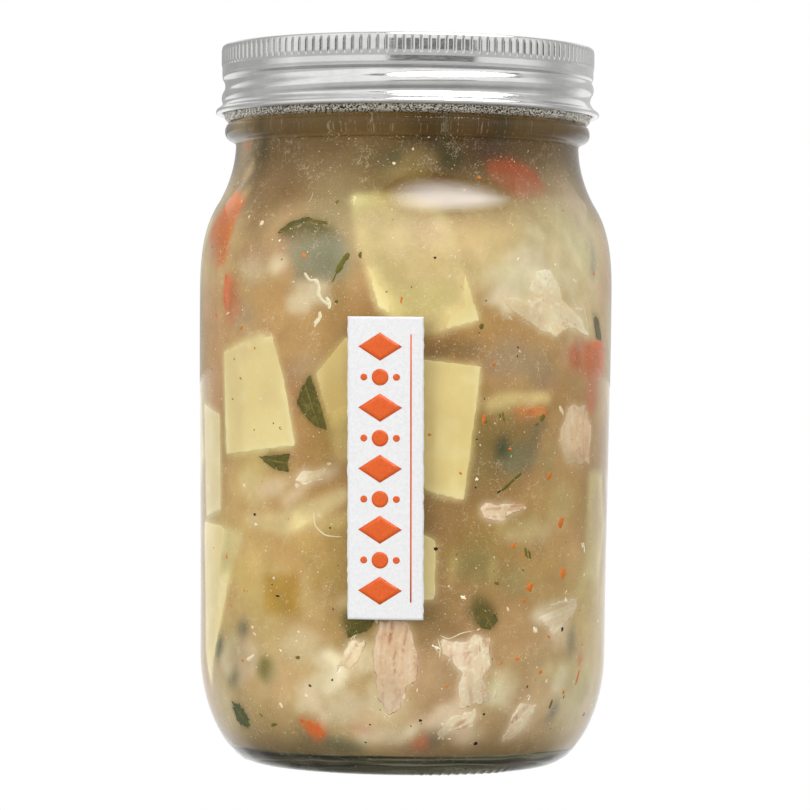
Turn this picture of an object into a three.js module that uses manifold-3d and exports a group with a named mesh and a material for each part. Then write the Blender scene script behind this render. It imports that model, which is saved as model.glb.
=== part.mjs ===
// A clear glass screw-top jar full of chicken noodle soup, as a three.js scene graph.
//
// Units are millimetres and +Z is up. The origin is the centre of the foot, on the surface
// that the jar stands on. The front of the jar faces -Y, and azimuths are measured from the
// front, growing towards +X.

import * as THREE from 'three';
import { mergeVertices } from 'three/addons/utils/BufferGeometryUtils.js';
import Module from 'manifold-3d';

const wasm = await Module();
wasm.setup();
const { Manifold, Mesh: ManifoldMesh } = wasm;

// ---------------------------------------------------------------- driving dimensions

const GAP = 0.3;                 // clearance between pieces that touch
const SIDES = 36;                // facets round the jar, the soup and the lid

const FOOT_RADIUS = 35.5;        // outer edge of the ring that the jar stands on
const FOOT_RING_WIDTH = 3;
const PUSH_UP = 2.5;             // hollow under the middle of the foot
const HEEL_RADIUS = 48.3;
const HEEL_HEIGHT = 26;
const BODY_RADIUS = 49.15;       // widest, just below the shoulder
const SHOULDER_BOTTOM = 112;
const SHOULDER_TOP = 133;
const SHOULDER_TOP_RADIUS = 44.9;
const NECK_RADIUS = 40.9;
const NECK_TOP = 146.3;
const BEAD_RADIUS = 43.55;
const BEAD_TOP = 152;
const FINISH_RADIUS = 42.3;      // mean of the thread's crest and root
const RIM_HEIGHT = 168.6;
const WALL = 3;
const MOUTH_RADIUS = 38;
const FLOOR_EDGE = 4.7;          // height of the soup's lowest edge
const FLOOR_MIDDLE = 6;
const FLOOR_RADIUS = 36;

const THREAD_PITCH = 5.8;
const THREAD_BOTTOM = 155.4;
const THREAD_TOP = 164.1;
const GLASS_THREAD_HEIGHT = 0.45;
const BAND_THREAD_HEIGHT = 0.22;

const SHEET = 0.5;               // thickness of the metal band
const BAND_RADIUS = 44.25;       // outside
const BAND_TOP = 170.3;
const BAND_BOTTOM = 153.5;
const BAND_OPENING = 38.5;       // radius of the hole in the band's top
const ROLL_RADIUS = 45.75;       // the band's rolled lower edge
const ROLL_HEIGHT = 2.2;
const CORNER = 1.1;
const RIB_COUNT = 48;
const RIB_BOTTOM = 165.1;
const RIB_TOP = 169.1;
const RIB_HEIGHT = 0.25;
const DISC_RADIUS = 42.8;
const DISC_THICKNESS = 0.6;

const SOUP_LEVEL = 160;

const LABEL_AZIMUTH = -5;
const LABEL_BOTTOM = 36.5;
const LABEL_HEIGHT = 68.6;
const LABEL_WIDTH = 17.7;
const LABEL_THICKNESS = 0.25;

// ---------------------------------------------------------------- materials

const finish = (color, roughness, metalness = 0) =>
  new THREE.MeshStandardMaterial({ color, roughness, metalness });

const MATERIALS = {
  glass: finish('#dfe8e2', 0.05),
  metal: finish('#b4b6b8', 0.35, 1),
  paper: finish('#e9e9ea', 0.6),
  broth: finish('#b6976a', 0.4),
  noodle: finish('#ddc77f', 0.5),
  chicken: finish('#dcc2a0', 0.6),
  carrot: finish('#cc5a20', 0.45),
  leaf: finish('#67562a', 0.5),
  celery: finish('#a3a35e', 0.45),
};
MATERIALS.glass.transparent = true;
MATERIALS.glass.opacity = 0.3;

// ---------------------------------------------------------------- solids and geometries

function solidOf(geometry) {
  const plain = geometry.clone();
  plain.deleteAttribute('normal');
  plain.deleteAttribute('uv');
  const merged = mergeVertices(plain, 1e-4);
  const corners = merged.index.array;
  const kept = [];
  for (let i = 0; i < corners.length; i += 3) {
    const [a, b, c] = [corners[i], corners[i + 1], corners[i + 2]];
    if (a !== b && b !== c && c !== a) kept.push(a, b, c);
  }
  return new Manifold(new ManifoldMesh({
    numProp: 3,
    vertProperties: new Float32Array(merged.attributes.position.array),
    triVerts: new Uint32Array(kept),
  }));
}

function geometryOf(solid) {
  const mesh = solid.getMesh();
  const geometry = new THREE.BufferGeometry();
  geometry.setAttribute('position', new THREE.BufferAttribute(mesh.vertProperties, 3));
  geometry.setIndex(new THREE.BufferAttribute(mesh.triVerts, 1));
  geometry.computeVertexNormals();
  return geometry;
}

function closedGeometry(points, index) {
  const geometry = new THREE.BufferGeometry();
  geometry.setAttribute('position', new THREE.Float32BufferAttribute(points.flat(), 3));
  geometry.setIndex(index);
  return geometry;
}

function largestPart(solid) {
  const parts = solid.decompose();
  return parts.reduce((best, part) => (part.volume() > best.volume() ? part : best));
}

// ---------------------------------------------------------------- turned profiles

const point = (radius, height) => new THREE.Vector2(radius, height);

// Points along a cubic Bezier curve, without its first one.
function bend(start, pull, push, end, steps) {
  return new THREE.CubicBezierCurve(start, pull, push, end).getPoints(steps).slice(1);
}

// Revolves a profile about Z. reshape(angle, radius, height) returns each point's radius.
function turned(profile, sides, reshape = (angle, radius) => radius) {
  const geometry = new THREE.LatheGeometry(profile, sides);
  geometry.rotateX(Math.PI / 2);
  const position = geometry.attributes.position;
  for (let i = 0; i < position.count; i++) {
    const [x, y, z] = [position.getX(i), position.getY(i), position.getZ(i)];
    const radius = Math.hypot(x, y);
    if (radius < 1e-6) continue;
    const scale = reshape(Math.atan2(y, x), radius, z) / radius;
    position.setXY(i, x * scale, y * scale);
  }
  return geometry;
}

// One start of thread: 1 on its crest and -1 in its root, fading out at both ends.
function threadWave(angle, height) {
  if (height < THREAD_BOTTOM || height > THREAD_TOP) return 0;
  return Math.cos(2 * Math.PI * (height - THREAD_BOTTOM) / THREAD_PITCH - angle);
}

function threadRows(radius) {
  const rows = [];
  for (let z = THREAD_BOTTOM; z <= THREAD_TOP; z += THREAD_PITCH / 4) rows.push(point(radius, z));
  return rows;
}

// ---------------------------------------------------------------- glass

// The inside of the glass, from the mouth down to the middle of the floor.
function innerProfile() {
  const neckEnd = point(MOUTH_RADIUS, NECK_TOP - WALL);
  const shoulder = point(SHOULDER_TOP_RADIUS - WALL + 0.3, SHOULDER_TOP - WALL);
  const body = point(BODY_RADIUS - WALL, SHOULDER_BOTTOM - 1);
  const heel = point(HEEL_RADIUS - WALL, HEEL_HEIGHT);
  const floor = point(FLOOR_RADIUS, FLOOR_EDGE);
  return [
    point(MOUTH_RADIUS + 0.1, RIM_HEIGHT - 0.7),
    neckEnd,
    ...bend(neckEnd, point(MOUTH_RADIUS + 0.2, 137.5), point(40.3, 133), shoulder, 2),
    ...bend(shoulder, point(45.2, 126), point(body.x, 119.5), body, 3),
    ...bend(body, point(body.x, 85), point(heel.x + 0.1, 60), heel, 2),
    ...bend(heel, point(heel.x, 14), point(43, FLOOR_EDGE + 0.9), floor, 4),
    point(0, FLOOR_MIDDLE),
  ];
}

function outerProfile() {
  const foot = point(FOOT_RADIUS, 0);
  const heel = point(HEEL_RADIUS, HEEL_HEIGHT);
  const body = point(BODY_RADIUS, SHOULDER_BOTTOM);
  const shoulder = point(SHOULDER_TOP_RADIUS, SHOULDER_TOP);
  const neck = point(NECK_RADIUS, NECK_TOP);
  return [
    point(0, PUSH_UP),
    point(FOOT_RADIUS - 2 * FOOT_RING_WIDTH + 1, PUSH_UP - 0.9),
    point(FOOT_RADIUS - FOOT_RING_WIDTH, 0),
    foot,
    ...bend(foot, point(41.5, 0.6), point(HEEL_RADIUS, 12), heel, 5),
    ...bend(heel, point(HEEL_RADIUS + 0.1, 60), point(BODY_RADIUS, 85), body, 2),
    ...bend(body, point(BODY_RADIUS, 121), point(48.2, 128), shoulder, 3),
    ...bend(shoulder, point(42.9, 136.2), point(41.1, 140.5), neck, 3),
    point(BEAD_RADIUS - 0.85, 147.3),
    point(BEAD_RADIUS, 149.2),
    point(BEAD_RADIUS - 0.3, 151.2),
    point(FINISH_RADIUS - 0.4, BEAD_TOP),
  ];
}

function glassJar() {
  const profile = [
    ...outerProfile(),
    ...threadRows(FINISH_RADIUS),
    point(FINISH_RADIUS - 0.4, RIM_HEIGHT - 1.2),
    point(FINISH_RADIUS - 1.2, RIM_HEIGHT),
    point(MOUTH_RADIUS + 0.8, RIM_HEIGHT),
    ...innerProfile(),
  ];
  const reshape = (angle, radius, height) => {
    const onFinish = radius > FINISH_RADIUS - 0.1;
    return onFinish ? radius + GLASS_THREAD_HEIGHT * threadWave(angle, height) : radius;
  };
  return turned(profile, SIDES, reshape);
}

// ---------------------------------------------------------------- lid and band

function lidDisc() {
  const bottom = RIM_HEIGHT + GAP;
  const panelRadius = BAND_OPENING - 2;
  const panelRise = 0.5;
  return turned([
    point(0, bottom + panelRise),
    point(panelRadius - 1, bottom + panelRise),
    point(panelRadius, bottom),
    point(DISC_RADIUS, bottom),
    point(DISC_RADIUS, bottom + DISC_THICKNESS),
    point(panelRadius, bottom + DISC_THICKNESS),
    point(panelRadius - 1, bottom + DISC_THICKNESS + panelRise),
    point(0, bottom + DISC_THICKNESS + panelRise),
  ], SIDES);
}

function bandShell() {
  const rollTop = BAND_BOTTOM + ROLL_HEIGHT;
  const inner = BAND_RADIUS - SHEET;
  const profile = [
    point(ROLL_RADIUS - 1.2, BAND_BOTTOM + 0.3),
    point(ROLL_RADIUS - 0.5, BAND_BOTTOM),
    point(ROLL_RADIUS, BAND_BOTTOM + 0.8),
    point(ROLL_RADIUS - 0.6, rollTop - 0.5),
    ...threadRows(BAND_RADIUS - 0.15).slice(1),
    point(BAND_RADIUS, THREAD_TOP + 0.5),
    point(BAND_RADIUS, BAND_TOP - CORNER),
    point(BAND_RADIUS - 0.3 * CORNER, BAND_TOP - 0.3 * CORNER),
    point(BAND_RADIUS - CORNER, BAND_TOP),
    point(BAND_OPENING, BAND_TOP),
    point(BAND_OPENING, BAND_TOP - SHEET),
    point(inner - 0.6 * CORNER, BAND_TOP - SHEET),
    point(inner, BAND_TOP - CORNER),
    point(inner, THREAD_TOP + 0.5),
    ...threadRows(inner - 0.15).slice(1).reverse(),
    point(inner + 0.35, rollTop - 0.7),
  ];
  profile.push(profile[0].clone());
  const reshape = (angle, radius, height) =>
    radius + BAND_THREAD_HEIGHT * threadWave(angle, height);
  return turned(profile, SIDES, reshape);
}

// A three-cornered rib that stands on the band's side, its back sunk in the sheet.
function rib(azimuth) {
  const half = Math.PI * BAND_RADIUS / RIB_COUNT * 0.62;
  const outline = new THREE.Shape([
    point(BAND_RADIUS - 0.35, -half),
    point(BAND_RADIUS + RIB_HEIGHT, 0),
    point(BAND_RADIUS - 0.35, half),
  ]);
  const geometry = new THREE.ExtrudeGeometry(outline, {
    depth: RIB_TOP - RIB_BOTTOM,
    bevelEnabled: false,
  });
  geometry.rotateZ(azimuth);
  geometry.translate(0, 0, RIB_BOTTOM);
  return geometry;
}

function screwBand() {
  const ribs = [];
  for (let i = 0; i < RIB_COUNT; i++) ribs.push(solidOf(rib(2 * Math.PI * i / RIB_COUNT)));
  return geometryOf(Manifold.union([solidOf(bandShell()), ...ribs]));
}

// ---------------------------------------------------------------- places on the wall

// Radius of the soup's side at a height: the inside of the glass, less the gap.
const SOUP_SIDE = innerProfile().slice(0, -1).map((p) => {
  const heel = Math.max(0, 1 - p.y / HEEL_HEIGHT);
  return point(p.x - GAP - 0.1, p.y + GAP * heel);
});

function soupRadius(height) {
  for (let i = 1; i < SOUP_SIDE.length; i++) {
    const [above, below] = [SOUP_SIDE[i - 1], SOUP_SIDE[i]];
    if (height < below.y) continue;
    const share = (height - below.y) / (above.y - below.y);
    return THREE.MathUtils.lerp(below.x, above.x, Math.min(1, share));
  }
  return FLOOR_RADIUS;
}

// A point on the wall at an azimuth and a height, some depth inside it.
function onWall(azimuth, height, depth) {
  const angle = THREE.MathUtils.degToRad(azimuth);
  const radius = soupRadius(height) - depth;
  return [radius * Math.sin(angle), -radius * Math.cos(angle), height];
}

// The angle in degrees that a distance along the wall spans.
const spanned = (distance) => THREE.MathUtils.radToDeg(distance / (HEEL_RADIUS - WALL));

// ---------------------------------------------------------------- pieces of the soup

// How each kind is made behind its outline: its thickness in the middle, the share of that
// at its rim, and the size of its back.
const FORMS = {
  leaf: { thickness: 0.6, rim: 1, back: 1 },
  carrot: { thickness: 4.5, rim: 0.75, back: 0.85 },
  celery: { thickness: 4, rim: 0.75, back: 0.85 },
  chicken: { thickness: 6.5, rim: 0.5, back: 0.85 },
  noodle: { thickness: 2.2, rim: 1, back: 1 },
};
const PRESSED_GAP = 0.05;        // between the broth's side and a piece that lies against the glass
const POCKET_REACH = 3;          // how far the pockets cut outwards, through the broth's side
const LONGEST_EDGE = 10;         // longer edges are split, so that they follow the round wall

// Outlines on the wall. A corner is [azimuth, height], with a depth where it leans inwards.
const OUTLINES = {
  leaf: [
    [[-40, 124], [-36, 126.5], [-30, 127.5], [-24, 126.5], [-19, 124, 1], [-21, 120.5, 3], [-25.5, 118, 3.5], [-33, 120, 3]],
    [[-27, 92], [-23.5, 83.5], [-22, 79], [-25.5, 80], [-29, 82.5], [-31.5, 85.5], [-30, 89]],
    [[-45.5, 73], [-33.5, 74], [-34.5, 72], [-34, 69.5], [-39, 70], [-42.5, 71.5]],
    [[-17.5, 38, 0.6], [-8, 38], [-8, 36], [-10, 33.5], [-13, 33], [-15.5, 32], [-17, 34.5, 0.6]],
    [[20.5, 42.5, 0.8], [26, 40, 0.6], [28, 36], [25.5, 34], [22.5, 34.5], [19, 37.5, 0.6]],
    [[-59.5, 16], [-55, 15.5], [-52, 12.5], [-53.5, 10], [-59, 11]],
    [[65, 107.5], [69.5, 105.5], [73, 100], [68, 101]],
    [[11, 144.5, 1.5], [18, 144.5, 1.5], [18.5, 138.5, 1], [13.5, 138, 1.4], [10.5, 141, 2]],
  ],
  carrot: [
    [[26.5, 141, 1.6], [37.5, 142, 1.2], [48.5, 139, 1.4], [51.5, 133.5, 2], [37, 131.5, 2.4], [29, 135, 2.6]],
    [[-71, 134, 1], [-74, 129, 1.1], [-79, 125, 1.2], [-76.5, 118.5, 1.3], [-67, 116, 1], [-61, 118, 1], [-60, 131.5, 1.4]],
    [[-61.5, 115, 1], [-55.5, 114, 2.5], [-52.5, 110, 3.2], [-53.5, 105, 3.2], [-59.5, 102.5, 2], [-62.5, 109.5, 0.8]],
    [[46.5, 99, 3], [59, 101, 1.6], [78, 100, 0.8], [77, 92.5, 1], [62.5, 91.5, 2], [49.5, 92.5, 3]],
    [[-32, 13.5], [-28.5, 13], [-23, 12], [-23, 10.5], [-27, 8], [-28.5, 9], [-29, 10.5]],
    [[32, 85, 1], [43, 85, 0.9], [44, 83.5, 0.9], [41.5, 82.5, 1.2], [32.5, 82, 1.6]],
  ],
  celery: [
    [[-46, 24.5, 1.8], [-41, 27, 2], [-38, 24, 1.4], [-40.5, 20.5, 0.4], [-44, 21, 0.8]],
    [[16, 52, 2.6], [26, 52.5, 2.6], [27.5, 46, 2.4], [19.5, 44, 2.6]],
  ],
  chicken: [
    [
      [24, 116, 2.2], [35, 116.5, 1.8], [44.5, 116.5, 1], [50, 109, 0.3], [56.5, 106.5], [62, 101.5],
      [55, 103], [47.5, 101.5], [41.5, 102, 0.2], [30.5, 107, 0.8], [26, 111, 1.6],
    ],
    [[-33.5, 113, 2.2], [-27, 113.5, 1.8], [-23, 111, 1], [-21, 108, 1], [-26.5, 107.5, 1.6], [-32, 109, 2]],
    [[-32, 68], [-30, 69.5], [-23, 70.5, 0.3], [-18, 71.5, 1.2], [-18.5, 69.5, 1.4], [-24.5, 67.5, 0.6], [-30, 66.5]],
    [
      [-8, 32.5], [-6.5, 36, 0.5], [2, 36], [3, 32], [5, 26.5], [4, 23],
      [1, 20.5], [-1, 16.5, 0.3], [-4.5, 16, 0.3], [-6.5, 19, 0.4], [-8.5, 27.5],
    ],
    [[-13.5, 32], [-10, 32.5], [-12, 28], [-15, 25, 0.6], [-18.5, 25, 1], [-16.5, 29, 0.8]],
    [
      [15.5, 32], [19.5, 32.5], [25, 32.5], [26, 26.5], [23.5, 23], [26, 19, 0.5],
      [23, 17, 0.5], [17, 16, 0.3], [15.5, 21], [17.5, 24.5], [13, 27.5], [10.5, 31.5],
    ],
    [[52.5, 85.5, 1.4], [61.5, 85.5, 0.5], [65.5, 80.5, 0.4], [65, 71.5, 0.6], [53, 71, 1.4], [48.5, 77, 1.8]],
    [[22, 62], [23.5, 63], [29, 62.5], [36.5, 62.5, 0.4], [36.5, 61, 0.4], [31.5, 60.5], [28, 58.5, 1], [23.5, 60]],
    [[36.5, 17, 1.2], [40.5, 17.5, 1], [44.5, 12.5, 1], [36.5, 9, 0.8], [32.5, 9, 0.6], [34, 14, 0.6]],
    [[42, 39.5, 1.6], [51, 40.5, 1], [59, 40, 0.5], [56, 36, 0.8], [48, 32, 1], [43, 36, 1.4]],
    [[-63.5, 30.5, 1.8], [-53, 32.5, 2], [-45.5, 29, 2.8], [-47.5, 22.5, 2.4], [-54.5, 19, 2], [-63.5, 23, 1.4]],
    [[14.5, 14.5, 0.4], [22.5, 16.5, 0.8], [22, 12.5, 0.8], [16.5, 11.8, 0.4], [11, 9], [10, 10.5]],
  ],
  noodle: [
    [
      [-7.5, 107, 0.3], [-1, 102.5, 0.8], [7.5, 101, 0.8], [21, 104.5],
      [16.5, 115.5, 0.6], [10.5, 129.5, 2.4], [-1.5, 133, 2.6], [-17.5, 132, 0.7],
    ],
    [[-60.5, 73], [-32, 75.5], [-35.5, 89.5], [-40, 100.5, 0.5], [-44.5, 101.5, 0.8], [-62, 97, 0.3]],
    [[-25.5, 92], [-22, 81.5, 0.7], [-19.5, 72.5, 1.4], [-8.5, 71, 1.4], [-5.5, 99], [-16.5, 100.5]],
    [[5.5, 95.5], [21.5, 94], [20.5, 86.5], [17, 63.5], [9, 65], [-0.5, 68], [-1.5, 96]],
    [[5, 56], [9, 54.5], [9, 41], [1, 41], [-0.5, 53.5]],
    [[-78, 85], [-64.5, 82.5, 0.4], [-64, 60, 0.6], [-76, 58]],
    [[-78.5, 57], [-64, 56.5, 0.4], [-51.5, 55, 1.6], [-56.5, 49, 1], [-61, 39.5, 0.6], [-72.5, 18, 0.5], [-76.5, 27]],
    [[22.5, 86.5, 0.5], [29, 88, 0.4], [44.5, 88, 0.3], [45, 86, 0.3], [34.5, 85, 1], [23.5, 83.5, 0.8]],
    [[-41, 47.5, 1.5], [-20.5, 46, 1.7], [-23, 35.5, 1.7], [-43, 36.5, 1.5]],
    [[43.5, 25.5, 1.6], [68, 24.5, 0.5], [68.5, 18.5, 0.5], [63.5, 16, 0.5], [54, 16, 0.6], [48, 21.5, 1.2]],
    [[65, 70, 1.2], [75.5, 69.5, 0.8], [81, 56.5, 0.8], [75, 44, 0.8], [63.5, 45.5, 1.4]],
    [
      [-51.5, 58.5, 1.4], [-33, 61, 1], [-16, 66.5, 1], [-15.5, 63.5, 1.2],
      [-30, 56.5, 0.8], [-36, 55, 1.2], [-48, 56.5, 1.8],
    ],
  ],
};

// An outline of evenly spread corners about a middle, for the side away from the front.
function roundOutline({ azimuth, height, width, length, turn, corners }) {
  const outline = [];
  for (let i = 0; i < corners; i++) {
    const angle = 2 * Math.PI * (i + 0.5) / corners;
    const reach = corners === 4 ? Math.SQRT2 : 1 + 0.15 * Math.sin(3 * i + height);
    const across = reach * width / 2 * Math.cos(angle);
    const along = reach * length / 2 * Math.sin(angle);
    const u = across * Math.cos(turn) - along * Math.sin(turn);
    const v = across * Math.sin(turn) + along * Math.cos(turn);
    outline.push([azimuth + spanned(u), height + v]);
  }
  return outline;
}

// The side away from the front has the same mix, spread by the golden angle.
const BACK_KINDS = ['noodle', 'chicken', 'noodle', 'carrot', 'chicken', 'noodle', 'leaf', 'chicken'];
const BACK_COUNT = 13;
const BACK_START = 97;
const BACK_SWEEP = 166;
const GOLDEN = (Math.sqrt(5) - 1) / 2;

function addBackPieces() {
  for (let i = 0; i < BACK_COUNT; i++) {
    const kind = BACK_KINDS[i % BACK_KINDS.length];
    const small = kind === 'carrot' || kind === 'leaf';
    OUTLINES[kind].push(roundOutline({
      azimuth: BACK_START + (i * GOLDEN + 0.13) % 1 * BACK_SWEEP,
      height: 18 + (i + 0.5) / BACK_COUNT * 108,
      width: small ? 8 : 17 + (i * 5) % 7,
      length: small ? 10 : 16 + (i * 3) % 8,
      turn: THREE.MathUtils.degToRad((i * 67) % 80 - 40),
      corners: kind === 'noodle' ? 4 : 7,
    }));
  }
}

// The outline's corners with its long edges split, counter-clockwise from outside.
function rimOf(outline) {
  const rim = [];
  let area = 0;
  outline.forEach(([azimuth, height, depth = 0], i) => {
    const [nextAzimuth, nextHeight, nextDepth = 0] = outline[(i + 1) % outline.length];
    area += azimuth * nextHeight - nextAzimuth * height;
    const run = Math.hypot((nextAzimuth - azimuth) / spanned(1), nextHeight - height);
    const parts = Math.ceil(run / LONGEST_EDGE);
    for (let k = 0; k < parts; k++) {
      const between = (from, to) => THREE.MathUtils.lerp(from, to, k / parts);
      rim.push([between(azimuth, nextAzimuth), between(height, nextHeight), between(depth, nextDepth)]);
    }
  });
  return area > 0 ? rim : rim.reverse();
}

// The direction along the wall that is square to an edge of a rim and leads out of it.
function outwards(from, to) {
  return point(to[1] - from[1], (from[0] - to[0]) / spanned(1)).normalize();
}

// The rim moved outwards along the wall by a distance.
function widened(rim, distance) {
  return rim.map(([azimuth, height, depth], i) => {
    const before = outwards(rim[(i + rim.length - 1) % rim.length], rim[i]);
    const after = outwards(rim[i], rim[(i + 1) % rim.length]);
    const reach = distance / (1 + before.dot(after));
    return [azimuth + spanned((before.x + after.x) * reach), height + (before.y + after.y) * reach, depth];
  });
}

// The closed solid behind an outline. A pocket is the space that the broth keeps for it: it is
// wider by the gap, and open to the wall.
function pieceSolid(outline, form, pocket) {
  const grow = pocket ? GAP : 0;
  const rim = widened(rimOf(outline), grow);
  const middle = [0, 1, 2].map((axis) => rim.reduce((sum, corner) => sum + corner[axis], 0) / rim.length);
  const place = (corner, share, depth) => onWall(
    middle[0] + (corner[0] - middle[0]) * share,
    middle[1] + (corner[1] - middle[1]) * share,
    depth,
  );
  const front = (corner) => (pocket ? -POCKET_REACH : PRESSED_GAP + corner[2]);
  const back = (corner, share) => PRESSED_GAP + corner[2] + share * form.thickness + grow;
  const points = [
    ...rim.map((corner) => place(corner, 1, front(corner))),
    ...rim.map((corner) => place(corner, pocket ? 1 : form.back, back(corner, form.rim))),
    place(middle, 1, front(middle)),
    place(middle, 1, back(middle, 1)),
  ];
  const index = [];
  for (let i = 0; i < rim.length; i++) {
    const next = (i + 1) % rim.length;
    const [behind, nextBehind] = [i + rim.length, next + rim.length];
    index.push(2 * rim.length, i, next);
    index.push(2 * rim.length + 1, nextBehind, behind);
    index.push(i, behind, nextBehind, i, nextBehind, next);
  }
  return solidOf(closedGeometry(points, index));
}

// ---------------------------------------------------------------- filling the jar

function soupEnvelope() {
  const side = SOUP_SIDE.filter((p) => p.y < SOUP_LEVEL);
  const profile = [
    point(0, SOUP_LEVEL),
    point(soupRadius(SOUP_LEVEL), SOUP_LEVEL),
    ...side,
    point(0, FLOOR_MIDDLE + GAP),
  ];
  return turned(profile.reverse(), SIDES);
}

// Thin pieces are placed first, and each later piece is cut where an earlier one lies.
function fillings() {
  addBackPieces();
  const pockets = [];
  const meshes = [];
  for (const [kind, form] of Object.entries(FORMS)) {
    OUTLINES[kind].forEach((outline, i) => {
      const solid = pieceSolid(outline, form, false);
      const cut = pockets.length ? largestPart(solid.subtract(Manifold.union(pockets))) : solid;
      meshes.push(named(`${kind}_${String(i + 1).padStart(2, '0')}`, geometryOf(cut), MATERIALS[kind]));
      pockets.push(pieceSolid(outline, form, true));
    });
  }
  const soup = solidOf(soupEnvelope()).subtract(Manifold.union(pockets));
  meshes.push(named('broth', geometryOf(largestPart(soup)), MATERIALS.broth));
  return meshes;
}

// ---------------------------------------------------------------- label

function outerRadius(height) {
  const share = THREE.MathUtils.clamp((height - HEEL_HEIGHT) / (SHOULDER_BOTTOM - HEEL_HEIGHT), 0, 1);
  return THREE.MathUtils.lerp(HEEL_RADIUS, BODY_RADIUS, share);
}

// A closed sheet round the front of the jar, of columns x rows cells on each face.
function label() {
  const [columns, rows] = [5, 3];
  const points = [];
  for (const lift of [GAP + LABEL_THICKNESS, GAP]) {
    for (let j = 0; j <= rows; j++) {
      for (let i = 0; i <= columns; i++) {
        const height = LABEL_BOTTOM + LABEL_HEIGHT * j / rows;
        const glass = outerRadius(height);
        const angle = THREE.MathUtils.degToRad(LABEL_AZIMUTH) + LABEL_WIDTH * (i / columns - 0.5) / glass;
        points.push([(glass + lift) * Math.sin(angle), -(glass + lift) * Math.cos(angle), height]);
      }
    }
  }
  const width = columns + 1;
  const layer = width * (rows + 1);
  const index = [];
  const quad = (a, b, c, d) => index.push(a, b, c, a, c, d);
  for (let j = 0; j < rows; j++) {
    const [left, right] = [j * width, j * width + columns];
    for (let a = left; a < right; a++) {
      quad(a, a + 1, a + 1 + width, a + width);
      quad(layer + a + 1, layer + a, layer + a + width, layer + a + 1 + width);
    }
    quad(left, left + width, layer + left + width, layer + left);
    quad(right + width, right, layer + right, layer + right + width);
  }
  for (let i = 0; i < columns; i++) {
    const top = rows * width + i;
    quad(i + 1, i, layer + i, layer + i + 1);
    quad(top, top + 1, layer + top + 1, layer + top);
  }
  return closedGeometry(points, index);
}

// ---------------------------------------------------------------- assembly

function named(name, geometry, material) {
  const mesh = new THREE.Mesh(geometry, material);
  mesh.name = name;
  return mesh;
}

const group = new THREE.Group();
group.add(
  named('glass_jar', glassJar(), MATERIALS.glass),
  named('lid_disc', lidDisc(), MATERIALS.metal),
  named('screw_band', screwBand(), MATERIALS.metal),
  named('label', label(), MATERIALS.paper),
  ...fillings(),
);

export default group;
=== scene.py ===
"""A glass screw-top jar full of chicken noodle soup: its finish, its contents and its studio."""
import math

import bmesh
import bpy
import numpy as np
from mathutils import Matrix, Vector
from mathutils.bvhtree import BVHTree


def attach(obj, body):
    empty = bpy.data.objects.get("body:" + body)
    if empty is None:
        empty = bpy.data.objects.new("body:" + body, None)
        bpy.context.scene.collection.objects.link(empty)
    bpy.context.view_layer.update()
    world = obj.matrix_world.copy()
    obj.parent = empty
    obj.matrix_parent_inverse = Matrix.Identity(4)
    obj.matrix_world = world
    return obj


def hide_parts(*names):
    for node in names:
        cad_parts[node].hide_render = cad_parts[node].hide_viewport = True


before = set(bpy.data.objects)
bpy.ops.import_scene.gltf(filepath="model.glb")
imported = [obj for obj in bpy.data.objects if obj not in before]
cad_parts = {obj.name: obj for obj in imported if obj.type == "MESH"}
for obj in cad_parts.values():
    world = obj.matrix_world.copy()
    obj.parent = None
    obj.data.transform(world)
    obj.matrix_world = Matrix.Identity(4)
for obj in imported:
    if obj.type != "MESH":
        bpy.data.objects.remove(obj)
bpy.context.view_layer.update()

# Sizes below are in millimetres, and MM turns them into the frame's metres. An azimuth is
# measured round the jar from its front, which faces -Y, towards +X.
MM = 0.001
GLASS_PROUD = 0.06      # how far the broth reaches into the glass
PIECE_PROUD = 0.12      # how far a piece that touches the glass reaches into it
SOUP_LEVEL = 160.0
RIM_HEIGHT = 168.6
BAND_BOTTOM = 153.5
BAND_TOP = 170.0
MEAN_RADIUS = 45.0      # of the wall, which turns a distance along it into an angle


# ------------------------------------------------------------------ small helpers


def rgb(red, green, blue):
    """A linear colour from 8-bit sRGB values."""
    srgb = np.array([red, green, blue]) / 255
    return np.where(srgb <= 0.04045, srgb / 12.92, ((srgb + 0.055) / 1.055) ** 2.4)


def bend(start, pull, push, end, steps):
    """Points along a cubic Bezier curve, without its first one."""
    t = np.linspace(0, 1, steps + 1)[1:, None]
    s = 1 - t
    curve = s**3 * np.array(start) + 3 * s * s * t * np.array(pull)
    return [tuple(p) for p in curve + 3 * s * t * t * np.array(push) + t**3 * np.array(end)]


def path(start, *legs):
    """Points along legs, each of them a point or the (pull, push, end, steps) of a curve."""
    points = [start]
    for leg in legs:
        points += [leg] if len(leg) == 2 else bend(points[-1], *leg)
    return points


def turned(along, across, turn):
    """Distances along and across a piece that leans by an angle, as steps to the right and up."""
    right = along * math.cos(turn) - across * math.sin(turn)
    return right, along * math.sin(turn) + across * math.cos(turn)


def smoothstep(low, high, value):
    """0 below low and 1 above high, with a smooth rise between them."""
    t = np.clip((value - low) / (high - low), 0, 1)
    return t * t * (3 - 2 * t)


def noise(points, seed=0):
    """Smooth noise from -1 to 1 at an (n, 3) array of points, with one wave per unit."""
    cell = np.floor(points).astype(np.int64)
    share = points - cell
    share = share * share * (3 - 2 * share)
    total = np.zeros(len(points))
    for corner in np.ndindex(2, 2, 2):
        x, y, z = (cell + corner).T
        mixed = x * 374761393 + y * 668265263 + z * 1274126177 + seed * 97531
        mixed = (mixed ^ (mixed >> 13)) * 1103515245 & 0x7FFFFFFF
        mixed = (mixed ^ (mixed >> 16)) & 0xFFFF
        weight = np.prod(np.where(np.array(corner) == 1, share, 1 - share), axis=1)
        total += weight * mixed / 0x7FFF
    return total - 1


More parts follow.
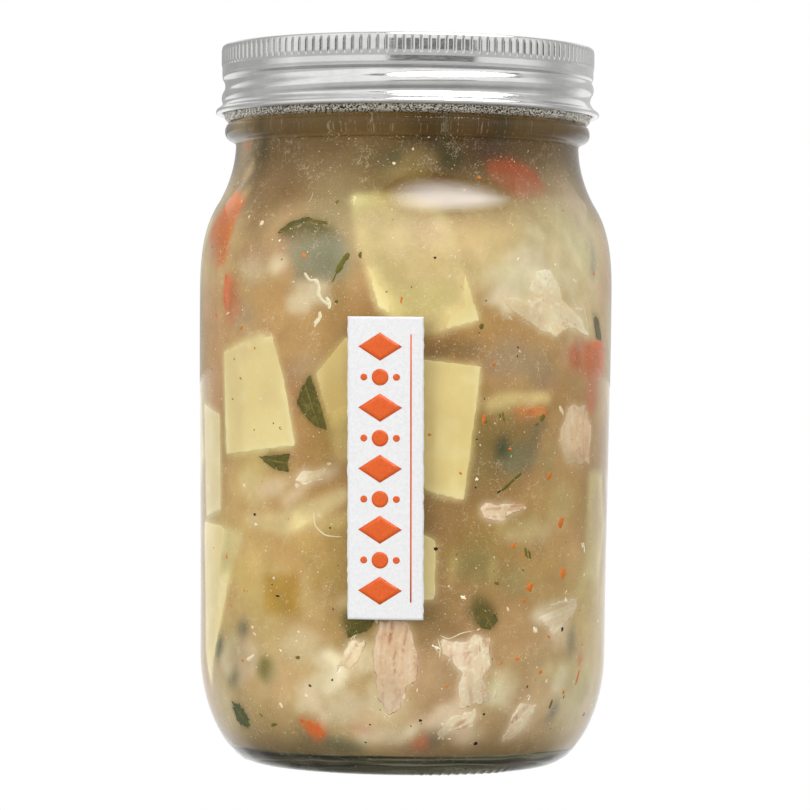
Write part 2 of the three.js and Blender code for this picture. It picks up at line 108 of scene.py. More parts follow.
def on_wall(azimuth, height, depth):
    """Points at azimuths in radians, at heights, at depths inside the inner face of the glass."""
    radius = wall_radius(height) - depth
    return np.stack([radius * np.sin(azimuth), -radius * np.cos(azimuth), height], axis=-1)


def wall_places(points):
    """The azimuth, height and depth of points: the inverse of on_wall."""
    x, y, z = points.T
    return np.arctan2(x, -y), z, wall_radius(z) - np.hypot(x, y)


def grid_faces(rows, columns, wrap):
    """Quads of a grid whose rows lie one above another, facing out of the jar."""
    last = columns if wrap else columns - 1
    i, j = np.meshgrid(np.arange(rows - 1), np.arange(last), indexing="ij")
    right = (j + 1) % columns
    quads = [i * columns + j, i * columns + right, (i + 1) * columns + right, (i + 1) * columns + j]
    return np.stack(quads, axis=-1).reshape(-1, 4).tolist()


def revolve(profile, segments, reshape=None):
    """Vertices and faces of (radius, height) points turned round the jar's axis."""
    profile = np.array(profile, float)
    angle = np.arange(segments) * 2 * np.pi / segments
    radius, a = np.meshgrid(profile[:, 0], angle, indexing="ij")
    height = np.repeat(profile[:, 1:], segments, axis=1)
    if reshape:
        radius, height = reshape(a, radius, height)
    points = np.stack([radius * np.sin(a), -radius * np.cos(a), height], axis=-1)
    return points.reshape(-1, 3), grid_faces(len(profile), segments, True)


def weld(mesh):
    """Joins the points that a turned profile leaves on the axis."""
    work = bmesh.new()
    work.from_mesh(mesh)
    bmesh.ops.remove_doubles(work, verts=work.verts, dist=1e-7)
    work.to_mesh(mesh)
    work.free()


def make_piece(name, points, faces, material, nodes=(), tones=None):
    """A smooth-shaded piece of the jar, from points in millimetres, that stands for CAD nodes."""
    mesh = bpy.data.meshes.new(name)
    mesh.from_pydata((np.asarray(points) * MM).tolist(), [], faces)
    if tones is not None:
        layer = mesh.attributes.new("tone", "FLOAT_COLOR", "POINT")
        colours = np.ones((len(points), 4))
        colours[:, :3] = tones
        layer.data.foreach_set("color", colours.ravel())
    weld(mesh)
    mesh.shade_smooth()
    mesh.materials.append(material)
    piece = bpy.data.objects.new(name, mesh)
    bpy.context.scene.collection.objects.link(piece)
    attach(piece, "root")
    if nodes:
        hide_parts(*nodes)
    return piece


# ------------------------------------------------------------------ glass profile

BODY_RADIUS, BODY_HEIGHT = 49.15, 112.0
HEEL_RADIUS, HEEL_HEIGHT = 48.3, 26.0
SHOULDER = (44.6, 133.0)
NECK = (40.9, 146.3)
FOOT_RADIUS = 35.5
FLOOR_RADIUS, FLOOR_EDGE, FLOOR_MIDDLE = 36.0, 4.7, 6.0
WALL = 3.0
MOUTH_RADIUS = 38.0
FINISH_RADIUS = 41.9
THREAD_PITCH = 5.8
THREAD_BOTTOM, THREAD_TOP = 155.4, 164.1


def outer_profile():
    """From the foot up to the bead under the band."""
    return path(
        (FOOT_RADIUS, 0.0),
        ((41.5, 0.6), (HEEL_RADIUS, 12.0), (HEEL_RADIUS, HEEL_HEIGHT), 26),
        ((48.4, 60.0), (BODY_RADIUS, 85.0), (BODY_RADIUS, BODY_HEIGHT), 22),
        ((BODY_RADIUS, 121.0), (48.3, 127.4), SHOULDER, 22),
        ((42.9, 136.2), (41.1, 140.5), NECK, 18),
        ((40.95, 146.9), (41.3, 147.0), (41.9, 147.3), 5),
        ((43.1, 147.8), (43.55, 148.6), (43.55, 149.6), 8),
        ((43.55, 150.8), (42.9, 151.6), (42.0, 151.9), 8),
    )


def inner_profile():
    """From the mouth down to the edge of the floor."""
    body, heel = BODY_RADIUS - WALL, HEEL_RADIUS - WALL
    shoulder = (SHOULDER[0] - WALL + 0.3, SHOULDER[1] - WALL)
    return path(
        (MOUTH_RADIUS + 0.1, RIM_HEIGHT - 0.7),
        (MOUTH_RADIUS, NECK[1] - WALL),
        ((MOUTH_RADIUS + 0.2, 137.5), (40.3, 133.0), shoulder, 14),
        ((45.2, 126.0), (body, 119.5), (body, BODY_HEIGHT - 1), 14),
        ((body, 85.0), (heel + 0.1, 60.0), (heel, HEEL_HEIGHT), 16),
        ((heel, 14.0), (43.0, FLOOR_EDGE + 0.9), (FLOOR_RADIUS, FLOOR_EDGE), 20),
    )


def floor_height(radius):
    """Height of the inside of the glass, under the soup."""
    return FLOOR_MIDDLE - (FLOOR_MIDDLE - FLOOR_EDGE) * radius / FLOOR_RADIUS


INNER = np.array(inner_profile())[::-1]
OUTER = np.array(outer_profile())


def wall_radius(height):
    """Radius of the inside of the glass."""
    return np.interp(height, INNER[:, 1], INNER[:, 0])


def glass_radius(height):
    """Radius of the outside of the glass."""
    return np.interp(height, OUTER[:, 1], OUTER[:, 0])


# ------------------------------------------------------------------ materials


def opaque(colour):
    """A colour with full alpha, or a socket as it is."""
    return colour if isinstance(colour, bpy.types.NodeSocket) else (*colour, 1)


class Nodes:
    """A node tree with short ways to add nodes to it."""

    def __init__(self, owner):
        owner.use_nodes = True
        self.tree = owner.node_tree

    def put(self, socket, value):
        """Sets a socket to a value, or links it to another node's socket."""
        if isinstance(value, bpy.types.NodeSocket):
            self.tree.links.new(value, socket)
        else:
            socket.default_value = value

    def node(self, kind, inputs=None, **settings):
        made = self.tree.nodes.new("ShaderNode" + kind)
        for key, value in settings.items():
            setattr(made, key, value)
        for key, value in (inputs or {}).items():
            self.put(made.inputs[key], value)
        return made


class Shader(Nodes):
    """A Principled material."""

    def __init__(self, name, roughness, **sockets):
        self.material = bpy.data.materials.new(name)
        super().__init__(self.material)
        self.surface = self.tree.nodes["Principled BSDF"]
        self.surface.inputs["Roughness"].default_value = roughness
        for socket, value in sockets.items():
            self.surface.inputs[socket.replace("_", " ")].default_value = value

    def place(self, scale=(1, 1, 1)):
        """Object coordinates in millimetres, stretched by scale."""
        spot = self.node("TexCoord").outputs["Object"]
        factors = [s / MM for s in scale]
        return self.node("Mapping", {"Vector": spot, "Scale": factors}).outputs["Vector"]

    def noise(self, waves_per_mm, detail=2.0, roughness=0.5, scale=(1, 1, 1)):
        inputs = {"Vector": self.place(scale), "Scale": waves_per_mm}
        inputs.update({"Detail": detail, "Roughness": roughness})
        return self.node("TexNoise", inputs).outputs["Fac"]

    def tone(self):
        """The tones painted on the points of the mesh."""
        return self.node("VertexColor", layer_name="tone").outputs["Color"]

    def ramp(self, factor, *stops):
        """A colour ramp of (position, colour) stops."""
        made = self.node("ValToRGB", {"Fac": factor})
        elements = made.color_ramp.elements
        while len(elements) < len(stops):
            elements.new(0.5)
        for element, (position, colour) in zip(elements, stops):
            element.position = position
            element.color = (*colour, 1)
        return made.outputs["Color"]

    def mix(self, factor, first, second, blend="MIX"):
        inputs = {0: factor, 6: opaque(first), 7: opaque(second)}
        return self.node("Mix", inputs, data_type="RGBA", blend_type=blend).outputs[2]

    def colour(self, value):
        self.put(self.surface.inputs["Base Color"], opaque(value))

    def bump(self, height, depth_mm, strength=1.0):
        """Relief, on top of any that is there."""
        made = self.node("Bump", {"Height": height, "Strength": strength, "Distance": depth_mm * MM})
        normal = self.surface.inputs["Normal"]
        if normal.is_linked:
            self.tree.links.new(normal.links[0].from_socket, made.inputs["Normal"])
        self.tree.links.new(made.outputs["Normal"], normal)


def toned(name, roughness, grain, waves, specular=0.12):
    """A wet piece in the soup: its own painted tones, mottled by fine grain."""
    shader = Shader(name, roughness, Specular_IOR_Level=specular)
    tone = shader.tone()
    mottle = shader.noise(waves, detail=3.0, roughness=0.65)
    light = shader.ramp(mottle, (0.3, (1 - grain,) * 3), (0.7, (1 + grain * 0.6,) * 3))
    shader.colour(shader.mix(1.0, tone, light, "MULTIPLY"))
    shader.bump(mottle, 0.05, 0.6)
    return shader.material


def glass_material():
    tint = (0.4, 0.4, 0.4, 1)
    shader = Shader("clear_glass", 0.02, IOR=1.5, Transmission_Weight=1.0, Specular_Tint=tint)
    shader.colour((0.955, 0.975, 0.955))
    shader.bump(shader.noise(0.035, detail=1.0), 0.25, 0.35)
    shader.bump(shader.noise(1.4, detail=3.0), 0.016, 0.4)
    return shader.material


def grainy_metal_material():
    """Crimped metal, with painted shade in the hollows between its bright raised grains."""
    shader = Shader("grainy_metal", 0.22, Metallic=1.0)
    grains = shader.noise(2.7, detail=1.0, roughness=0.6)
    # Painted shade: where the grains' bump sinks, the colour turns dark.
    shader.colour(shader.ramp(grains, (0.42, rgb(64, 56, 34)), (0.5, rgb(255, 252, 240))))
    shader.bump(grains, 0.5, 1.0)
    return shader.material


def metal_material():
    """Satin sheet metal: faintly brushed and worn, and darkened by its painted tones, which paint shade
    into the band's knurls.
    """
    shader = Shader("satin_sheet_metal", 0.22, Metallic=1.0)
    tone = shader.tone()
    brushed = shader.noise(0.6, detail=3.0, scale=(1, 1, 6))
    worn = shader.noise(0.09, detail=2.0)
    shade = shader.ramp(worn, (0.35, rgb(224, 224, 223)), (0.7, rgb(240, 239, 238)))
    streaks = shader.ramp(brushed, (0.3, (0.92, 0.92, 0.92)), (0.7, (1, 1, 1)))
    clean = shader.mix(1.0, shade, streaks, "MULTIPLY")
    shader.colour(shader.mix(1.0, clean, tone, "MULTIPLY"))
    rough = shader.node("MapRange", {"Value": brushed, "To Min": 0.1, "To Max": 0.22})
    shader.put(shader.surface.inputs["Roughness"], rough.outputs["Result"])
    shader.bump(shader.noise(0.5, detail=2.0), 0.03, 0.5)
    return shader.material


def paper_material():
    shader = Shader("label_paper", 0.6, Specular_IOR_Level=0.3)
    fibres = shader.noise(1.4, detail=4.0, roughness=0.7)
    shader.colour(shader.ramp(fibres, (0.3, rgb(217, 217, 218)), (0.7, rgb(230, 230, 230))))
    shader.bump(fibres, 0.03, 0.6)
    return shader.material


def ink_material():
    shader = Shader("label_ink", 0.5, Specular_IOR_Level=0.3)
    patchy = shader.noise(2.2, detail=3.0)
    shader.colour(shader.ramp(patchy, (0.3, rgb(206, 84, 26)), (0.7, rgb(222, 98, 38))))
    return shader.material


PALE_FLECK = rgb(238, 222, 188)
BLACK = (0, 0, 0)


def broth_material():
    """Cloudy liquid: painted tones, drifting clouds and a haze of fine pale specks."""
    shader = Shader("cloudy_broth", 0.55, Specular_IOR_Level=0.05)
    tone = shader.tone()
    clouds = shader.noise(0.13, detail=5.0, roughness=0.62)
    drift = shader.ramp(clouds, (0.3, (0.86, 0.84, 0.81)), (0.7, (1.1, 1.12, 1.13)))
    blush = shader.ramp(shader.noise(0.06), (0.35, (0.98, 1.01, 0.9)), (0.65, (1.03, 0.97, 1.0)))
    haze = shader.noise(2.6, detail=2.0, roughness=0.7)
    shaded = shader.mix(1.0, shader.mix(1.0, tone, drift, "MULTIPLY"), blush, "MULTIPLY")
    specks = shader.ramp(haze, (0.62, BLACK), (0.74, (0.36,) * 3))
    flecked = shader.mix(specks, shaded, PALE_FLECK)
    curled = shader.noise(0.3, detail=3.0, roughness=0.6)
    wisps = shader.ramp(curled, (0.485, BLACK), (0.5, (0.26,) * 3), (0.515, BLACK))
    broken = shader.ramp(shader.noise(0.16), (0.48, BLACK), (0.58, (1, 1, 1)))
    streaked = shader.mix(1.0, broken, wisps, "MULTIPLY")
    shader.colour(shader.mix(streaked, flecked, PALE_FLECK))
    return shader.material


GLASS = glass_material()
METAL = metal_material()
GRAINY_METAL = grainy_metal_material()
PAPER = paper_material()
INK = ink_material()
BROTH = broth_material()
SOFT = {
    "noodle": toned("cooked_noodle", 0.5, 0.025, 0.5),
    "chicken": toned("cooked_chicken", 0.6, 0.06, 1.6),
    "carrot": toned("cooked_carrot", 0.5, 0.1, 1.2),
    "leaf": toned("cooked_leaf", 0.5, 0.16, 1.5),
    "celery": toned("cooked_celery", 0.5, 0.1, 0.9),
}


# ------------------------------------------------------------------ camera and studio

CAMERA_DISTANCE = 880.0
CAMERA_HEIGHT = 90.8
PIXELS_PER_MM = 4.18            # at the jar's axis, in the 810 pixel frame
FRAME_PIXELS = 810
HORIZON_PIXEL = 380             # the camera's own height lies on this row
AXIS_PIXEL = 403.3              # the jar's axis crosses that row here
ROLL = 0.58                     # degrees that the jar leans to the right


def make_camera():
    """The photo's view: nearly level, turned and rolled a little to put the jar in its place."""
    data = bpy.data.cameras.new("camera")
    focal_pixels = PIXELS_PER_MM * CAMERA_DISTANCE
    data.sensor_width = 36
    data.lens = data.sensor_width * focal_pixels / FRAME_PIXELS
    data.clip_start, data.clip_end = 0.05, 20
    camera = bpy.data.objects.new("camera", data)
    camera.location = (0, -CAMERA_DISTANCE * MM, CAMERA_HEIGHT * MM)
    centre = FRAME_PIXELS / 2
    pitch = math.atan((centre - HORIZON_PIXEL) / focal_pixels)
    yaw = math.atan((centre - AXIS_PIXEL) / focal_pixels)
    camera.rotation_mode = "ZXY"
    camera.rotation_euler = (math.pi / 2 - pitch, -math.radians(ROLL), -yaw)
    bpy.context.scene.collection.objects.link(camera)
    bpy.context.scene.camera = camera


def aim(thing, place, target):
    """Puts a lamp or card at a place, facing its target."""
    thing.location = [p * MM for p in place]
    towards = Vector(target) - Vector(place)
    thing.rotation_mode = "QUATERNION"
    thing.rotation_quaternion = towards.to_track_quat("-Z", "Y")
    bpy.context.scene.collection.objects.link(thing)


def area_light(name, place, target, size, watts):
    """A fill light that leaves no mark of its own on the glass."""
    data = bpy.data.lights.new(name, "AREA")
    data.shape = "RECTANGLE"
    data.size, data.size_y = (s * MM for s in size)
    data.energy = watts
    light = bpy.data.objects.new(name, data)
    light.visible_glossy = False
    light.visible_transmission = False
    aim(light, place, target)


def panel(name, place, target, size, strength, soft=True):
    """A lit or dark card, with soft edges or plain, which is seen only as a reflection."""
    half_width, half_height = (s * MM / 2 for s in size)
    mesh = bpy.data.meshes.new(name)
    corners = [(-half_width, -half_height, 0), (half_width, -half_height, 0)]
    corners += [(half_width, half_height, 0), (-half_width, half_height, 0)]
    mesh.from_pydata(corners, [], [(3, 2, 1, 0)])
    material = bpy.data.materials.new(name)
    nodes = Nodes(material)
    nodes.tree.nodes.remove(nodes.tree.nodes["Principled BSDF"])
    spot = nodes.node("TexCoord").outputs["Object"]
    scale = (1 / half_width, 1 / half_height, 1)
    scaled = nodes.node("Mapping", {"Vector": spot, "Scale": scale}).outputs["Vector"]
    edge = nodes.node("TexGradient", {"Vector": scaled}, gradient_type="SPHERICAL").outputs["Fac"]
    ends = (0, 0.75) if soft else (-1, 0)
    inputs = {"Value": edge, "From Min": ends[0], "From Max": ends[1], "To Max": strength}
    fade = nodes.node("MapRange", inputs, interpolation_type="SMOOTHSTEP").outputs["Result"]
    glow = nodes.node("Emission", {"Strength": fade}).outputs["Emission"]
    nodes.put(nodes.tree.nodes["Material Output"].inputs["Surface"], glow)
    mesh.materials.append(material)
    card = bpy.data.objects.new(name, mesh)
    card.visible_camera = False
    card.visible_shadow = False
    card.visible_diffuse = False
    card.visible_transmission = False
    aim(card, place, target)


WORLD_HIGH = 1.0        # in front of the jar, above the camera's level
WORLD_LOW = 0.6         # in front of the jar, at its own level
WORLD_SIDE = 0.5
WORLD_BACK = 1.0
WORLD_BELOW = 0.45


def make_world():
    """Bright in front above the jar's body, greyer elsewhere, and plain white to the camera."""
    world = bpy.data.worlds.new("studio")
    nodes = Nodes(world)
    spot = nodes.node("TexCoord").outputs["Generated"]
    split = nodes.node("SeparateXYZ", {0: spot})

    def ramp(axis, low, high, from_value, to_value):
        inputs = {"Value": split.outputs[axis], "From Min": low, "From Max": high}
        inputs.update({"To Min": from_value, "To Max": to_value})
        return nodes.node("MapRange", inputs, interpolation_type="SMOOTHSTEP").outputs["Result"]

    def combine(kind, first, second):
        return nodes.node("Math", {0: first, 1: second}, operation=kind).outputs[0]

    side_or_back = ramp("Y", 0.45, 0.85, WORLD_SIDE, WORLD_BACK)
    front = ramp("Z", 0.03, 0.08, WORLD_LOW, WORLD_HIGH)
    mixed = nodes.node("Mix", {"Factor": ramp("Y", -0.3, 0.3, 0, 1), "A": front, "B": side_or_back})
    lit = combine("MULTIPLY", mixed.outputs["Result"], ramp("Z", -0.85, -0.3, WORLD_BELOW, 1.0))
    backdrop = combine("MAXIMUM", lit, nodes.node("LightPath").outputs["Is Camera Ray"])
    background = nodes.tree.nodes["Background"]
    nodes.put(background.inputs["Strength"], backdrop)
    background.inputs["Color"].default_value = (1, 1, 1, 1)
    bpy.context.scene.world = world


def make_studio():
    """The camera, the world, soft fills, a bright card overhead and cards that shade the metal."""
    make_camera()
    make_world()
    middle = (0, 0, 90)
    area_light("left_fill", (-700, -800, 350), middle, (500, 700), 5.1)
    area_light("right_fill", (800, -700, 250), middle, (500, 700), 2.55)
    area_light("back_fill", (-250, 950, 350), middle, (700, 700), 4.5)
    panel("overhead", (190, -230, 690), (12, -44, 131), (800, 520), 27.0)
    band = (0, 0, 160)
    panel("dark_card", (388, -1449, 300), band, (1500, 150), 0.02, False)
    panel("left_card", (-1042, 1079, 344), band, (2430, 520), 0.46, False)
    panel("right_card", (903, 1198, 344), band, (1800, 520), 0.62, False)
    scene = bpy.context.scene
    scene.view_settings.view_transform = "Standard"
    scene.cycles.use_denoising = True


make_studio()


# ------------------------------------------------------------------ glass jar


def make_glass():
    """The jar: pushed up under its floor, marked round its foot, and threaded at its mouth."""
    profile = path(
        (0.0, 3.2),
        (10.0, 3.1),
        (18.0, 2.9),
        ((28.0, 2.6), (31.0, 1.2), (32.5, 0.0), 12),
        (34.0, 0.0),
        *outer_profile(),
        *[(FINISH_RADIUS, z) for z in np.arange(152.3, RIM_HEIGHT - 1, 0.5)],
        ((FINISH_RADIUS, RIM_HEIGHT - 0.2), (41.3, RIM_HEIGHT), (40.6, RIM_HEIGHT), 4),
        (39.2, RIM_HEIGHT),
        ((38.4, RIM_HEIGHT), (38.1, 168.4), (38.1, 167.9), 4),
        *inner_profile(),
        (24.0, floor_height(24.0)),
        (0.0, FLOOR_MIDDLE),
    )
    foot_marks = 110

    def reshape(angle, radius, height):
        wave = np.cos(2 * np.pi * (height - THREAD_BOTTOM) / THREAD_PITCH - angle + np.pi / 2)
        on_thread = (radius > FINISH_RADIUS - 0.05) & (height > THREAD_BOTTOM) & (height < THREAD_TOP)
        radius = radius + np.where(on_thread, 0.9 * smoothstep(-0.2, 1, wave), 0)
        near_foot = smoothstep(33.5, 35.5, radius) * (1 - smoothstep(37.5, 39.5, radius))
        near_foot = near_foot * (height < 3)
        patchy = smoothstep(0.35, 0.8, np.sin(3 * angle + 0.4))
        marks = np.clip(np.sin(foot_marks * angle), 0, 1) * patchy
        spot = np.stack([8 * np.cos(angle), 8 * np.sin(angle), height * 1.3 + radius * 0.5], axis=-1)
        ripple = noise(spot.reshape(-1, 3), 5).reshape(radius.shape)
        low = smoothstep(0.2, 1.5, height) * (1 - smoothstep(3.5, 7, height))
        radius = radius + 0.22 * ripple * low
        under = (radius < 33) & (height < 3)
        lift = 0.5 * under * smoothstep(0, 1.5, height)
        height = height + lift * noise(spot.reshape(-1, 3) * 0.7, 6).reshape(radius.shape)
        return radius, height - 0.35 * near_foot * marks * np.minimum(1, height / 0.4)

    points, faces = revolve(profile, 440, reshape)
    glass = make_piece("jar_glass", points, faces, GLASS, ["glass_jar"])
    glass.visible_shadow = False
    glass.visible_diffuse = False


make_glass()


# ------------------------------------------------------------------ lid and band


# Painted shade: this tone darkens the metal in the knurls' slots.
SLOT_SHADE_TONE = np.array([0.62, 0.62, 0.61])      # of the metal in a knurl's slot


def make_band():
    """The screw band: rolled at its foot, threaded, and knurled below its top edge."""
    knurls = 142
    inner = 43.7

    def knurled(height):
        return smoothstep(165.0, 165.9, height) * (1 - smoothstep(168.6, 169.4, height))

    def groove(azimuth):
        """1 in the middle of a knurl's slot and 0 between the slots."""
        return np.exp(-((np.mod(knurls * azimuth / (2 * np.pi), 1) - 0.5) / 0.11) ** 4)

    profile = path(
        (inner + 0.4, 155.9),
        ((44.2, 154.9), (44.2, 154.3), (44.4, 154.0), 5),
        ((44.6, 153.5), (45.1, BAND_BOTTOM), (45.35, 153.6), 6),
        ((45.8, 153.8), (45.85, 154.4), (45.5, 154.8), 8),
        ((45.0, 155.2), (44.5, 155.4), (44.15, 156.1), 8),
        *[(44.15, z) for z in np.arange(156.4, 161.4, 0.3)],
        *[(44.15, z) for z in np.arange(161.4, 163.0, 0.15)],
        *[(44.22, z) for z in np.arange(163.1, 165.0, 0.3)],
        *[(44.3, z) for z in np.arange(165.1, 169.3, 0.3)],
        *bend((44.3, 169.2), (44.3, 169.8), (43.9, BAND_TOP), (43.1, BAND_TOP), 8),
        (41.5, BAND_TOP),
        (39.2, BAND_TOP),
        ((38.7, BAND_TOP), (38.5, 170.2), (38.5, 170.0), 4),
        ((38.5, 169.8), (38.8, 169.75), (39.2, 169.75), 4),
        (43.0, 169.75),
        ((43.5, 169.7), (inner, 169.4), (inner, 169.0), 4),
        (inner, 164.8),
        *[(inner - 0.2, z) for z in np.arange(164.0, 156.3, -0.5)],
        (inner + 0.4, 155.9),
    )

    def reshape(angle, radius, height):
        above = smoothstep(161.9, 162.6, height)
        threaded = smoothstep(155.8, 157.0, height) * (1 - above)
        wave = np.cos(2 * np.pi * (height - THREAD_BOTTOM + 0.9) / THREAD_PITCH - angle + np.pi / 2)
        swell = 0.42 * np.sign(wave) * np.abs(wave) ** 0.8 - 0.15
        radius = radius + 0.1 * above + threaded * swell
        outside = radius > inner + 0.2
        return radius + knurled(height) * outside * (0.1 - 0.38 * groove(angle)), height

    points, faces = revolve(profile, knurls * 10, reshape)
    azimuth = np.arctan2(points[:, 0], -points[:, 1])
    outside = np.hypot(points[:, 0], points[:, 1]) > inner + 0.2
    # Painted shade: the tones darken the metal in the knurls' slots.
    dark = outside * knurled(points[:, 2]) * groove(azimuth)
    tones = 1 - dark[:, None] * (1 - SLOT_SHADE_TONE)
    make_piece("band_metal", points, faces, METAL, ["screw_band"], tones)


def make_curl():
    """The band's edge curled inwards, crimped into glittering grains."""
    rows = path(
        (43.9, 154.2),
        (43.75, 153.8),
        ((43.7, 152.9), (43.3, 152.0), (42.5, 151.7), 12),
        (42.3, 151.9),
        (42.6, 152.9),
        (43.3, 154.0),
        (43.9, 154.2),
    )

    def reshape(angle, radius, height):
        spot = np.stack([angle * 43 * 1.1, height * 1.2, radius * 0.7], axis=-1)
        grain = noise(spot.reshape(-1, 3), 11).reshape(radius.shape)
        crimp = np.sin(angle * 230 + 1.5 * np.sin(angle * 17))
        return radius + 0.14 * grain + 0.05 * crimp, height + 0.1 * grain

    points, faces = revolve(rows, 900, reshape)
    make_piece("band_curl", points, faces, GRAINY_METAL)


def make_lid():
    """The flat disc: sunk inside its raised ring, with a rolled edge under the band."""
    profile = path(
        (0.0, 169.4),
        (35.0, 169.4),
        ((35.8, 169.4), (36.0, 168.95), (36.8, 168.95), 6),
        (42.3, 168.95),
        ((42.9, 168.95), (42.9, 169.55), (42.3, 169.55), 8),
        (37.2, 169.55),
        ((36.4, 169.55), (36.2, 170.1), (35.4, 170.1), 6),
        ((34.8, 170.1), (34.7, 169.8), (34.0, 169.8), 5),
        (31.0, 169.8),
        ((30.4, 169.8), (30.2, 170.05), (29.6, 170.05), 5),
        (12.0, 170.08),
        (0.0, 170.1),
    )
    points, faces = revolve(profile, 220)
    make_piece("lid_metal", points, faces, METAL, ["lid_disc"], np.ones((len(points), 3)))


make_band()
make_curl()
make_lid()

# ------------------------------------------------------------------ the broth's tones and painted shade

HAZE = rgb(180, 156, 120)          # broth that hides something
# The broth's tone at heights: paler and thicker below; darker and clearer in the neck, partly as
# painted shade under the lid.
BROTH_HEIGHTS = (5, 9, 32, 60, 92, 112, 124, 132, 141, 147, 152, 160)
BROTH_TONES = (
    rgb(146, 122, 82), rgb(160, 134, 90), rgb(178, 144, 92), rgb(172, 136, 82), rgb(174, 132, 80),
    rgb(186, 148, 94), rgb(204, 172, 124), rgb(126, 98, 54), rgb(90, 68, 30), rgb(92, 70, 33),
    rgb(124, 100, 62), rgb(124, 100, 62),
)
MIDDLE_TONE = BROTH_TONES[4]

# Clouds and painted shade in the broth: azimuth, height, half width, half height, 8-bit tone, strength.
CLOUDS_AND_SHADE = [
    (-20, 78, 5, 14, (148, 114, 56), 0.8), (-20, 60, 5, 8, (160, 124, 70), 0.8),
    (-20, 43, 6, 10, (160, 126, 72), 0.7), (-49, 130, 5, 9, (132, 104, 68), 0.9),
    (-48, 118, 8, 6, (160, 130, 92), 0.7), (16, 98, 9, 5, (144, 104, 40), 1.0),
    (11, 108, 6, 4, (160, 120, 60), 0.7), (28, 76, 10, 8, (108, 88, 42), 0.8),
    (8, 146, 6, 5, (62, 44, 14), 0.9), (28, 146, 6, 5, (66, 38, 16), 0.9),
    (-15, 147, 6, 5, (112, 88, 50), 0.7), (-36, 140, 10, 4, (136, 112, 74), 0.6),
    (12, 35, 5, 7, (140, 112, 72), 0.8), (-14, 34, 5, 5, (146, 114, 74), 0.8),
    (62, 108, 8, 12, (232, 212, 168), 0.7), (68, 20, 8, 14, (230, 212, 170), 0.8),
    (64, 45, 8, 10, (216, 190, 134), 0.6), (45, 24, 8, 9, (202, 176, 130), 0.7),
    (-68, 16, 8, 9, (226, 212, 178), 0.6), (22, 71, 5, 6, (132, 110, 66), 0.8),
    (8, 35, 5, 7, (144, 114, 72), 0.9), (22, 104, 5, 7, (166, 128, 66), 0.8),
    (38, 118, 7, 6, (214, 192, 144), 0.7), (-26, 7, 14, 3, (104, 88, 56), 0.8),
    (-62, 102, 9, 14, (196, 155, 112), 0.5), (-30, 100, 14, 8, (190, 151, 103), 0.7),
    (-12, 103, 8, 7, (150, 113, 63), 0.8), (60, 125, 12, 12, (196, 172, 131), 0.8),
    (44, 128, 12, 7, (178, 153, 114), 0.6), (32, 95, 9, 6, (186, 153, 109), 0.7),
    (52, 76, 9, 8, (196, 161, 112), 0.5), (12, 60, 9, 12, (136, 106, 61), 0.8),
    (24, 50, 10, 10, (150, 120, 64), 0.8), (50, 55, 12, 12, (184, 149, 92), 0.7),
    (-48, 68, 10, 7, (206, 180, 123), 0.6), (-52, 50, 12, 12, (210, 180, 116), 0.8),
    (-28, 50, 14, 12, (202, 169, 103), 0.8), (-46, 28, 12, 9, (192, 171, 116), 0.6),
    (-28, 22, 13, 9, (206, 176, 125), 0.7), (-10, 11, 12, 7, (202, 169, 121), 0.7),
    (10, 20, 7, 14, (150, 116, 77), 0.5), (32, 14, 11, 7, (142, 116, 79), 0.6),
    (34, 30, 11, 9, (182, 147, 99), 0.6), (60, 22, 10, 12, (190, 163, 114), 0.5),
    (-72, 146, 6, 9, (180, 161, 127), 0.8), (-48, 147, 12, 7, (112, 90, 55), 0.6),
    (-20, 141, 14, 5, (122, 98, 59), 0.5), (12, 142, 6, 4, (70, 54, 26), 0.6),
    (33, 143, 6, 4, (84, 56, 34), 0.5), (-23, 133, 7, 6, (178, 153, 115), 0.5),
    (-22, 124, 6, 7, (126, 124, 96), 0.5), (60, 124, 9, 8, (216, 208, 178), 0.6),
    (-20, 116, 5, 6, (140, 124, 86), 0.5), (21, 115, 5, 6, (226, 212, 156), 0.6),
    (42, 116, 6, 6, (230, 216, 172), 0.5), (58, 115, 7, 7, (224, 206, 160), 0.6),
    (19, 107, 6, 5, (170, 136, 80), 0.6), (-21, 61, 6, 7, (170, 130, 76), 0.6),
    (-21, 44, 6, 10, (158, 124, 70), 0.6), (21, 71, 6, 6, (130, 108, 62), 0.5),
    (9, 25, 5, 5, (202, 171, 131), 0.5), (-6, 15, 7, 5, (226, 200, 158), 0.7),
    (20, 16, 6, 5, (218, 188, 142), 0.6), (42, 16, 7, 6, (208, 178, 134), 0.8),
    (60, 17, 7, 7, (228, 216, 190), 0.6),
]
BACK_CLOUD_COUNT = 70
BACK_TONES = (
    (220, 194, 140), (214, 184, 124), (226, 206, 160), (206, 178, 124), (218, 196, 150),
    (212, 190, 146), (166, 132, 84), (150, 118, 66), (176, 160, 128), (206, 170, 128),
)


def back_clouds():
    """Clouds round the sides and back, of the same tones as those in front."""
    dice = np.random.default_rng(31)
    clouds = []
    for _ in range(BACK_CLOUD_COUNT):
        azimuth, height = 80 + 200 * dice.random(), 8 + 128 * dice.random()
        half_width, half_height = 4 + 9 * dice.random(2)
        tone = BACK_TONES[dice.integers(len(BACK_TONES))]
        clouds.append((azimuth, height, half_width, half_height, tone, 0.45 + 0.4 * dice.random()))
    return clouds


ALL_CLOUDS_AND_SHADE = CLOUDS_AND_SHADE + back_clouds()


def wrapped(angle):
    """An angle brought between half a turn left and half a turn right."""
    return (angle + math.pi) % (2 * math.pi) - math.pi


